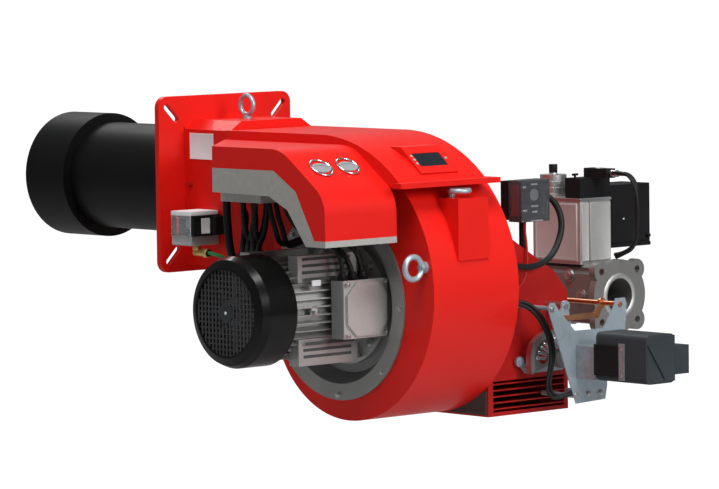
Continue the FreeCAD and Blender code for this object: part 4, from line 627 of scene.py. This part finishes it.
# the guard's hub, the ring nut and a small blank plate on the motor
guardHub = {"face": -460.6, "back": -458.5, "radius": 24, "border": 3, "step": -0.4, "round": 0.4}
hub = startRound("guardHub", "y", fanAxis, guardHub["face"], guardHub["back"], guardHub["radius"], sides=40)
pickFaces(hub, facing("-y"))
insetPicked(guardHub["border"], guardHub["step"])
finishPiece(bevelled(hub, guardHub["round"]), "slate")
hubDot = {"face": -461.2, "back": -460, "radius": 4, "round": 0.4}
dot = startRound("guardHubDot", "y", fanAxis, hubDot["face"], hubDot["back"], hubDot["radius"])
finishPiece(bevelled(dot, hubDot["round"]), "paperWhite")
ringNut = {"places": [(659, -285, -276)], "outward": (1, 0, 0), "radius": 9, "height": 8, "washer": 15}
boltSet("motorRingNut", ringNut)
motorPlateSmall = {"low": (658, -294, -214), "high": (661.4, -266, -200), "side": "+x", "border": 2,
                   "step": -0.2, "round": 0.4, "rings": 1, "finish": "paperWhite"}
panelBlock("motorPlateSmall", motorPlateSmall)
print("motor dressed")

# cables out of the panel's underside, in place of the frame's one thick run
panelRun = {
    "thickness": 14, "top": -18, "depth": -240, "depthStep": 9, "order": 5, "rows": 4,
    "left": {"startX": 352, "stepX": 11, "count": 9, "waist": 400, "spread": 6.5},
    "right": {"startX": 392, "stepX": 12, "count": 6, "waist": 428, "spread": 7.5},
}
panelCables = []
for side in ("left", "right"):
    run = panelRun[side]
    for number in range(run["count"]):
        x = run["startX"] + run["stepX"] * number
        lean = (number - run["count"] / 2 + 0.5) * run["spread"]
        waist = run["waist"] + lean
        depth = panelRun["depth"] - panelRun["depthStep"] * ((number * panelRun["order"]) % panelRun["rows"])
        sway = number % 3
        route = [(x, depth, panelRun["top"]), (x, depth, panelRun["top"] - 26),  # straight down
                 (waist, depth - 6, -84 - lean), (waist, -258 - sway * 7, -124),  # drawn together
                 (waist - 26, -238 - sway * 8, -154), (330 + lean, -204 + lean, -172),  # turned to the duct
                 (270 + lean, -158 + lean, -178), (262 + lean * 0.6, -116, -176 + lean * 0.6)]  # into it
        cable = {"thickness": panelRun["thickness"], "route": route}
        panelCables.append(drawnCable("panelCable%d" % len(panelCables), cable))
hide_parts("panel_cables")
panelConduit = {"thickness": 20, "route": [
    (318, -262, -10), (319, -264, -50), (324, -264, -104), (330, -262, -158), (326, -232, -196),
    (304, -172, -206), (290, -112, -206)]}
drawnCable("panelConduit", panelConduit)
innerLoops = {"thickness": 13, "routes": [
    [(462, -252, -18), (470, -256, -46), (488, -258, -80), (490, -250, -112), (478, -224, -128),
     (462, -176, -124), (448, -112, -112)],
    [(474, -240, -18), (482, -244, -50), (502, -246, -84), (506, -240, -116), (492, -214, -132),
     (470, -170, -128), (456, -112, -120)],
    [(500, -236, -18), (512, -240, -46), (552, -244, -82), (600, -236, -104), (646, -214, -122),
     (672, -190, -146), (680, -182, -186)],
    [(520, -222, -18), (534, -226, -44), (580, -232, -76), (630, -222, -92), (668, -190, -112),
     (684, -162, -142), (680, -150, -186)],
]}
for number, route in enumerate(innerLoops["routes"]):
    drawnCable("innerLoop%d" % number, dict(innerLoops, route=route))
print("panel cables drawn")

# chrome rims round the panel's two windows, seated on the frame's own glasses
windowRim = {"thickness": 2.6, "lift": 0.6, "segments": 56, "rings": 12, "slope": 0.3}
windowMesh = nodes["panel_windows"].data
windowMiddle = sum((corner.co.y for corner in windowMesh.vertices), 0.0) / len(windowMesh.vertices)
rims = []
for near in (True, False):
    tops = [face for face in windowMesh.polygons
            if min(face.normal.z, face.normal.x) > windowRim["slope"]
            and (face.center.y < windowMiddle) == near]
    area = sum(face.area for face in tops)
    middle = sum((face.center * face.area for face in tops), Vector()) / area
    outward = sum((face.normal * face.area for face in tops), Vector()).normalized()
    corners = [windowMesh.vertices[index].co for face in tops for index in face.vertices]
    radius = max((corner - middle).length for corner in corners)
    clearPick()
    bpy.ops.mesh.primitive_torus_add(major_segments=windowRim["segments"], minor_segments=windowRim["rings"],
                                     major_radius=radius, minor_radius=windowRim["thickness"] / 1000)
    rim = bpy.context.object
    rim.data.transform(Matrix.Translation(middle + outward * windowRim["lift"] / 1000)
                       @ outward.to_track_quat("Z", "Y").to_matrix().to_4x4())
    rims.append(rim)
finishPiece(joinPieces("windowRims", rims), "chrome")
print("window rims placed")

# bare rating plate, fold and screw on the duct's near side
ductBlocks = {
    "ratingPlate": {"low": (35, -136.8, 63), "high": (125, -136, 128), "side": "-y", "border": 3,
                    "step": -0.15, "round": 0.2, "rings": 1, "finish": "paperWhite"},
    "ductFold": {"low": (16, -137.4, -74), "high": (19.5, -136, 144), "side": "-y", "border": 0.6,
                 "step": -0.2, "round": 0.5, "finish": "red_paint"},
}
for name, look in ductBlocks.items():
    panelBlock(name, look)
ductScrew = {"places": [(36, -136, 0)], "outward": (0, -1, 0), "radius": 6, "height": 4, "washer": 8,
             "finish": "dark_red_paint"}
boltSet("ductScrew", ductScrew)
print("duct side dressed")

# screws, blank label and glands on the motor's terminal box
lidScrews = {"face": 710, "middleY": -160, "reach": 62, "outward": (1, 0, 0), "radius": 4.5, "height": 1.6,
             "washer": 6}
lidScrews["places"] = [(lidScrews["face"], lidScrews["middleY"] + a * lidScrews["reach"],
                        fanAxis[1] + b * lidScrews["reach"]) for a in (-1, 1) for b in (-1, 1)]
boltSet("lidScrews", lidScrews)
motorLabel = {"low": (708, -150, -300), "high": (709, -124, -284), "side": "+x", "border": 2, "step": -0.1,
              "round": 0.2, "rings": 1, "finish": "paperWhite"}
panelBlock("motorLabel", motorLabel)
terminalGlands = {"sizes": ((-150, 12.5), (-182, 10.5), (-214, 9)), "x": 680, "low": -204, "nutTop": -196,
                  "capTop": -184, "nutExtra": 4, "capExtra": 2, "nutRound": 0.8, "capRound": 1}
glands = []
for y, radius in terminalGlands["sizes"]:
    spot = (terminalGlands["x"], y)
    nut = startRound("glandNut", "z", spot, terminalGlands["low"], terminalGlands["nutTop"],
                     radius + terminalGlands["nutExtra"], sides=6)
    cap = startRound("glandCap", "z", spot, terminalGlands["nutTop"], terminalGlands["capTop"],
                     radius + terminalGlands["capExtra"], tip=radius - terminalGlands["capExtra"])
    glands += [bevelled(nut, terminalGlands["nutRound"]), bevelled(cap, terminalGlands["capRound"])]
finishPiece(joinPieces("terminalGlands", glands), "black_plastic")
thirdMotorCable = {"thickness": 11, "route": [
    (680, -214, -186), (680, -214, -164), (668, -222, -128), (628, -236, -96), (600, -240, -54),
    (598, -240, -18)]}
drawnCable("thirdMotorCable", thirdMotorCable)
print("terminal box dressed")

# front pressure switch: base, core, clear cover, white cap, side, label and plug
frontPlug = {"side": "+x", "border": 6, "step": -1.2, "round": 2.5, "rings": 3, "finish": "black_plastic"}
frontBlocks = {
    "frontSwitchBase": {"low": (66, -226, -146), "high": (140, -136, -122), "side": "-y", "border": 5,
                        "step": -1.5, "round": 3, "finish": "grey_plastic"},
    "frontSwitchCore": {"low": (69, -192, -122.5), "high": (139, -136, -72), "side": "-y", "border": 6,
                        "step": -2, "round": 3, "finish": "black_plastic"},
    "frontSwitchCover": {"low": (66, -228, -122), "high": (140, -199.5, -71.5), "side": "-y", "border": 6,
                         "step": -2, "round": 4, "rings": 3, "finish": "clearCover"},
    "frontSwitchCap": {"low": (66, -228, -72), "high": (141, -138, -61), "side": "+z", "border": 6,
                       "step": -1.5, "round": 3.5, "rings": 3, "finish": "paperWhite"},
    "frontSwitchSide": dict(frontPlug, low=(138, -226, -122), high=(152, -134, -71)),
    "frontSwitchLabel": {"low": (150, -202, -116), "high": (152.6, -175, -78), "side": "+x", "border": 2,
                         "step": -0.2, "round": 0.3, "rings": 1, "finish": "paperWhite"},
    "frontSwitchPlug": dict(frontPlug, low=(151, -172, -120), high=(170, -134, -74)),
}
frontPieces = {name: panelBlock(name, look) for name, look in frontBlocks.items()}
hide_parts("front_switch")

# the front switch's brass elbow and green air tube
elbow = {"radius": 8.5, "nut": 12.5, "nutRound": 0.8, "arms": {  # place, pipe and nut from and to
    "z": ((122, -192), (-172, -145), (-158, -148)), "x": ((-192, -164), (115, 166), (152, 166))}}
elbowParts = []
for along, (place, pipe, nut) in elbow["arms"].items():
    elbowParts.append(startRound("brassPipe", along, place, *pipe, elbow["radius"]))
    elbowNut = startRound("brassNut", along, place, *nut, elbow["nut"], sides=6)
    elbowParts.append(bevelled(elbowNut, elbow["nutRound"]))
finishPiece(joinPieces("frontBrassElbow", elbowParts), "brass")
frontTube = {"thickness": 9, "finish": "greenTube", "route": [
    (164, -192, -164), (186, -192, -165), (206, -182, -172), (212, -156, -186), (210, -128, -196)]}
drawnCable("frontGreenTube", frontTube)
print("front switch dressed")

# rear pressure switch: smoked cover, flank and dark scale with its marks
rearBlocks = {
    "rearSwitchCover": {"low": (731, 295.5, -90), "high": (777, 392.5, 13), "side": "+x", "border": 8,
                        "step": -2, "round": 9, "rings": 4, "finish": "smokedPlastic"},
    "rearSwitchFlank": {"low": (738, 297.4, -76), "high": (766, 299, 0), "side": "-y", "border": 3,
                        "step": -0.3, "round": 0.6, "rings": 1, "finish": "dark_red_paint"},
    "rearSwitchScale": {"low": (770.3, 363, -74), "high": (771.6, 385, 2), "side": "+x", "border": 4,
                        "step": -0.4, "round": 0.5, "rings": 1, "finish": "slate"},
}
for name, look in rearBlocks.items():
    panelBlock(name, look)
scaleMarks = {"back": 770, "front": 771, "half": 2.2,
              "places": ((310, -4, 12), (311, -62, 14), (344, 2, 22), (345, -52, 24), (345, -66, 18))}
for number, (y, z, width) in enumerate(scaleMarks["places"]):
    mark = {"low": (scaleMarks["back"], y - width / 2, z - scaleMarks["half"]),
            "high": (scaleMarks["front"], y + width / 2, z + scaleMarks["half"]),
            "side": "+x", "border": 0.8, "step": -0.1, "round": 0.2, "rings": 1, "finish": "paperWhite"}
    panelBlock("scaleMark%d" % number, mark)

# the rear switch's gland, conduit and thin air tube, and the air box's end strip
rearGland = {"place": (740, -26), "low": 388, "high": 404, "radius": 13, "tip": 11, "round": 1.2}
gland = startRound("rearGland", "y", rearGland["place"], rearGland["low"], rearGland["high"],
                   rearGland["radius"], tip=rearGland["tip"])
finishPiece(bevelled(gland, rearGland["round"]), "black_plastic")
rearConduit = {"thickness": 16, "route": [
    (740, 400, -26), (744, 414, -30), (764, 427, -50), (780, 430, -85), (785, 424, -123), (788, 396, -168),
    (788, 360, -192), (788, 312, -201), (790, 262, -194), (796, 222, -190), (800, 184, -188)]}
drawnCable("rearConduit", rearConduit)
rearRedTube = {"thickness": 6, "finish": "dark_red_paint", "route": [
    (758, 322, -84), (760, 322, -110), (770, 319, -150), (777, 314, -200), (780, 296, -240),
    (786, 244, -262), (790, 184, -270)]}
drawnCable("rearRedTube", rearRedTube)
airBoxEnd = {"low": (420, 186, -557), "high": (757, 188.4, -500), "side": "-y", "border": 6, "step": -0.4,
             "round": 0.6, "rings": 1, "finish": "slotShade"}
panelBlock("airBoxEnd", airBoxEnd)
print("rear switch dressed")

# servo drive: square cover and pale screw strip
servoBlocks = {
    "servoCover": {"low": (946, 370, -460), "high": (1026, 376.6, -384), "side": "-y", "border": 5,
                   "step": -1.4, "round": 1.6, "finish": "black_plastic"},
    "servoStrip": {"low": (1027, 373.5, -468), "high": (1046, 376.6, -378), "side": "-y", "border": 2,
                   "step": -0.4, "round": 1.2, "finish": "gearboxZinc"},
}
for name, look in servoBlocks.items():
    panelBlock(name, look)
servoScrews = {"places": [(1036, 376.6, -457), (1036, 376.6, -391)], "outward": (0, -1, 0), "radius": 5,
               "height": 3, "washer": 6.5}
boltSet("servoScrews", servoScrews)

# the servo's slate face, with its two near corners rounded, and its slanting groove
servoFace = {"low": (1117, 380, -470), "high": (1118.8, 476, -358), "corner": 30, "steps": 8, "near": 400,
             "border": 2.5, "step": -0.6, "round": 0.5, "angle": 50}
facePlate = startBlock("servoFace", servoFace["low"], servoFace["high"])
pickOnly(facePlate)
bpy.ops.object.mode_set(mode="EDIT")
bpy.ops.mesh.select_mode(type="EDGE")
bpy.ops.mesh.select_all(action="DESELECT")
faceShape = bmesh.from_edit_mesh(facePlate.data)
for edge in faceShape.edges:
    first, second = (corner.co for corner in edge.verts)
    if abs(first.x - second.x) > 0.001 and first.y < servoFace["near"] / 1000:  # edges along x
        edge.select_set(True)
bmesh.update_edit_mesh(facePlate.data)
bpy.ops.mesh.bevel(offset=servoFace["corner"] / 1000, segments=servoFace["steps"], affect="EDGES")
bpy.ops.object.mode_set(mode="OBJECT")
pickFaces(facePlate, facing("+x"))
insetPicked(servoFace["border"], servoFace["step"])
finishPiece(bevelled(facePlate, servoFace["round"], angle=servoFace["angle"]), "slate")
servoGroove = {"length": 104, "width": 2.2, "back": -0.6, "front": 0.4, "middle": (1120.6, 409, -421),
               "turn": 0.60, "round": 0.3}
halfWidth = servoGroove["width"] / 2
halfLength = servoGroove["length"] / 2
groove = startBlock("servoGroove", (servoGroove["back"], -halfWidth, -halfLength),
                    (servoGroove["front"], halfWidth, halfLength))
groove.data.transform(Matrix.Translation(Vector(servoGroove["middle"]) / 1000)
                      @ Matrix.Rotation(servoGroove["turn"], 4, "X"))
finishPiece(bevelled(groove, servoGroove["round"], segments=1), "black_plastic")

# the servo's twin lead and the bolts through its bracket
servoLeads = {"count": 2, "thickness": 9, "gap": (0, -10, -5), "route": [
    (800, 184, -276), (812, 226, -276), (822, 256, -280), (834, 276, -292), (846, 295, -318),
    (851, 319, -362), (852, 330, -408), (851, 318, -456), (850, 312, -490), (855, 324, -514),
    (866, 348, -514), (877, 374, -504)]}
for number in range(servoLeads["count"]):
    route = [tuple(value + number * step for value, step in zip(spot, servoLeads["gap"]))
             for spot in servoLeads["route"]]
    drawnCable("servoLead%d" % number, dict(servoLeads, route=route))
bracketBolts = {"places": [(883, 290, -297), (883, 373, -515), (883, 414, -513), (883, 457, -514)],
                "outward": (1, 0, 0), "radius": 6, "height": 3, "washer": 8}
boltSet("bracketBolts", bracketBolts)
print("servo dressed")

# clips and screws that hold the cam's spring band, on the disc's outer face
camClips = {"axis": (0, 402, -432), "count": 9, "from": 98, "step": 9.5, "near": 62, "far": 98,
            "length": 38, "width": 8, "thickness": 3, "short": 4, "border": 1.2, "sunk": -0.4, "round": 0.5,
            "screw": 3, "screwBack": 12, "screwSunk": 0.3, "screwHeight": 1.6, "screwRound": 0.4,
            "hub": 0.07}
camAxis = Vector(camClips["axis"]) / 1000
camFace = max(corner.co.x for corner in nodes["cam_disc"].data.vertices
              if (Vector((0, corner.co.y, corner.co.z)) - camAxis).length > camClips["hub"])
outwardX = Matrix(((0, 0, 1, 0), (1, 0, 0, 0), (0, 1, 0, 0), (0, 0, 0, 1)))
clips = []
for number in range(camClips["count"]):
    angle = math.radians(camClips["from"] + camClips["step"] * number)
    reach = camClips["near"] + (camClips["far"] - camClips["near"]) * number / (camClips["count"] - 1)
    clip = startBlock("camClip", (-camClips["width"] / 2, reach - camClips["length"], 0),
                      (camClips["width"] / 2, reach - camClips["short"], camClips["thickness"]))
    pickFaces(clip, facing("+z"))
    insetPicked(camClips["border"], camClips["sunk"])
    bevelled(clip, camClips["round"], segments=1)
    screw = startRound("camScrew", "z", (0, reach - camClips["screwBack"]),
                       camClips["thickness"] - camClips["screwSunk"],
                       camClips["thickness"] + camClips["screwHeight"], camClips["screw"], sides=16)
    bevelled(screw, camClips["screwRound"])
    pair = joinPieces("camClip", [clip, screw])
    spot = Matrix.Translation(camAxis + Vector((camFace, 0, 0)))
    pair.data.transform(spot @ Matrix.Rotation(angle - math.pi / 2, 4, "X") @ outwardX)
    clips.append(pair)
finishPiece(joinPieces("camClips", clips), "chrome", "cam_drive", "zinc_steel")
print("cam dressed")

# gas valve: bolts round its outlet and plugs in its side
gasAxis = (700, -300)
outletBolts = {"ring": 90, "face": 449, "count": 4, "start": math.pi / 4, "outward": (-1, 0, 0),
               "radius": 13, "height": 10, "washer": 16}
outletBolts["places"] = [(outletBolts["face"], y, z) for y, z in ringOf(gasAxis, outletBolts)]
boltSet("valveOutletBolts", outletBolts)
valvePlugs = {"places": [(560, 638, -300), (640, 638, -300), (600, 638, -250)], "outward": (0, -1, 0),
              "radius": 13, "height": 7, "washer": 17}
boltSet("valvePlugs", valvePlugs)

# coil: painted side panels, the groove between them and the seams
coilLook = {"side": "-y", "border": 6, "step": -1, "round": 1.2, "finish": "coilPaint"}
coilRear = dict(coilLook, side="+x", border=3)
seamLook = {"side": "+x", "border": 0.8, "step": -0.2, "round": 0.5, "rings": 1, "finish": "black_plastic"}
coilBlocks = {
    "coilPanel": dict(coilLook, low=(476, 637.5, -214), high=(626, 640.5, -68)),
    "coilRearNear": dict(coilRear, low=(636.5, 643, -214), high=(639.5, 670, -66)),
    "coilRearFar": dict(coilRear, low=(636.5, 673, -214), high=(639.5, 747, -66)),
    "coilGroove": dict(seamLook, low=(636.2, 670.2, -216), high=(637.4, 672.8, -62)),
    "coilSeam": dict(seamLook, low=(464, 639, -226), high=(638, 751, -222)),
    "coilTopSeam": dict(seamLook, low=(464, 639, -62), high=(638.5, 751, -56), finish="steel"),
}
for name, look in coilBlocks.items():
    panelBlock(name, look)

# the turned ring on the valve's inlet
ringLook = {"radius": 51.1, "thickness": 6.9, "face": 715, "flat": 0.5, "segments": 64, "sides": 4,
            "round": 0.4}
clearPick()
bpy.ops.mesh.primitive_torus_add(major_segments=ringLook["segments"], minor_segments=ringLook["sides"],
                                 major_radius=ringLook["radius"] / 1000,
                                 minor_radius=ringLook["thickness"] / 1000)
inletRing = bpy.context.object
inletRing.name = "inletRing"
flattened = Matrix.Rotation(math.pi / 2, 4, "Y") @ Matrix.Diagonal((1, 1, ringLook["flat"], 1))
inletRing.data.transform(Matrix.Translation(Vector((ringLook["face"], *gasAxis)) / 1000) @ flattened)
finishPiece(bevelled(inletRing, ringLook["round"], segments=1), "cast_aluminium")

# the valve's lead and the second cable beside it
valveLead = {"place": (700, 8), "round": 1, "steps": (  # radius, from, to, sides
    (15, 640, 662, 6), (12, 662, 674, 28), (14, 674, 686, 6), (9, 686, 712, 20))}
leadParts = []
for radius, low, high, sides in valveLead["steps"]:
    part = startRound("leadStep", "x", valveLead["place"], low, high, radius, sides)
    leadParts.append(bevelled(part, valveLead["round"]))
finishPiece(joinPieces("valveLead", leadParts), "steel")
valveCableTwin = {"thickness": 9, "route": [
    (700, 693, 10), (722, 693, 12), (762, 693, 6), (787, 693, -40), (787, 693, -118), (780, 693, -164),
    (742, 693, -190), (706, 693, -196)]}
drawnCable("valveCableTwin", valveCableTwin)

# regulator: sunk cap and knurled rings
regulator = {"place": (498, 684), "cap": 11, "capLow": 4, "capHigh": 26, "capBorder": 2, "capStep": -2,
             "capRound": 1, "ring": 34.8, "ringLevels": (-50, -34, -18), "ringHeight": 2.4, "ringRound": 0.7}
regulatorCap = startRound("regulatorCap", "z", regulator["place"], regulator["capLow"], regulator["capHigh"],
                          regulator["cap"], sides=28)
pickFaces(regulatorCap, facing("+z"))
insetPicked(regulator["capBorder"], regulator["capStep"])
finishPiece(bevelled(regulatorCap, regulator["capRound"]), "black_plastic")
for number, z in enumerate(regulator["ringLevels"]):
    ring = startRound("regulatorRing%d" % number, "z", regulator["place"], z, z + regulator["ringHeight"],
                      regulator["ring"], sides=56)
    finishPiece(bevelled(ring, regulator["ringRound"]), "knurl")

# handle on the valve's cap
capHandle = {"radius": 3, "stemPlace": (600, 660), "stem": (-10, 6), "stemRound": 0.5, "barPlace": (600, 4),
             "bar": (650, 670), "barRound": 1}
thick = capHandle["radius"]
handleStem = startRound("handleStem", "z", capHandle["stemPlace"], *capHandle["stem"], thick, sides=16)
bevelled(handleStem, capHandle["stemRound"], segments=1)
handleBar = startRound("handleBar", "y", capHandle["barPlace"], *capHandle["bar"], thick, sides=16)
bevelled(handleBar, capHandle["barRound"])
finishPiece(joinPieces("capHandle", [handleStem, handleBar]), "black_plastic")

# side box: lid, lip, knob and dot
sideLook = {"side": "+x", "border": 5, "step": -0.8, "round": 1.5, "finish": "black_plastic"}
sideBlocks = {
    "sideBoxLid": dict(sideLook, low=(599, 752, -178), high=(602.5, 928, -34)),
    "sideBoxLip": dict(sideLook, low=(560, 752, -190), high=(604, 930, -180)),
}
for name, look in sideBlocks.items():
    panelBlock(name, look)
sideRounds = {
    "sideBoxKnob": {"place": (918, -164), "low": 602, "high": 612, "radius": 6, "tip": 4.5, "sides": 24,
                    "round": 1, "finish": "black_plastic"},
    "sideBoxDot": {"place": (832, -118), "low": 601, "high": 604, "radius": 2.5, "tip": 2, "sides": 20,
                   "round": 0.5, "finish": "paperWhite"},
}
for name, look in sideRounds.items():
    piece = startRound(name, "x", look["place"], look["low"], look["high"], look["radius"], look["sides"],
                       look["tip"])
    finishPiece(bevelled(piece, look["round"]), look["finish"])
print("gas valve dressed")
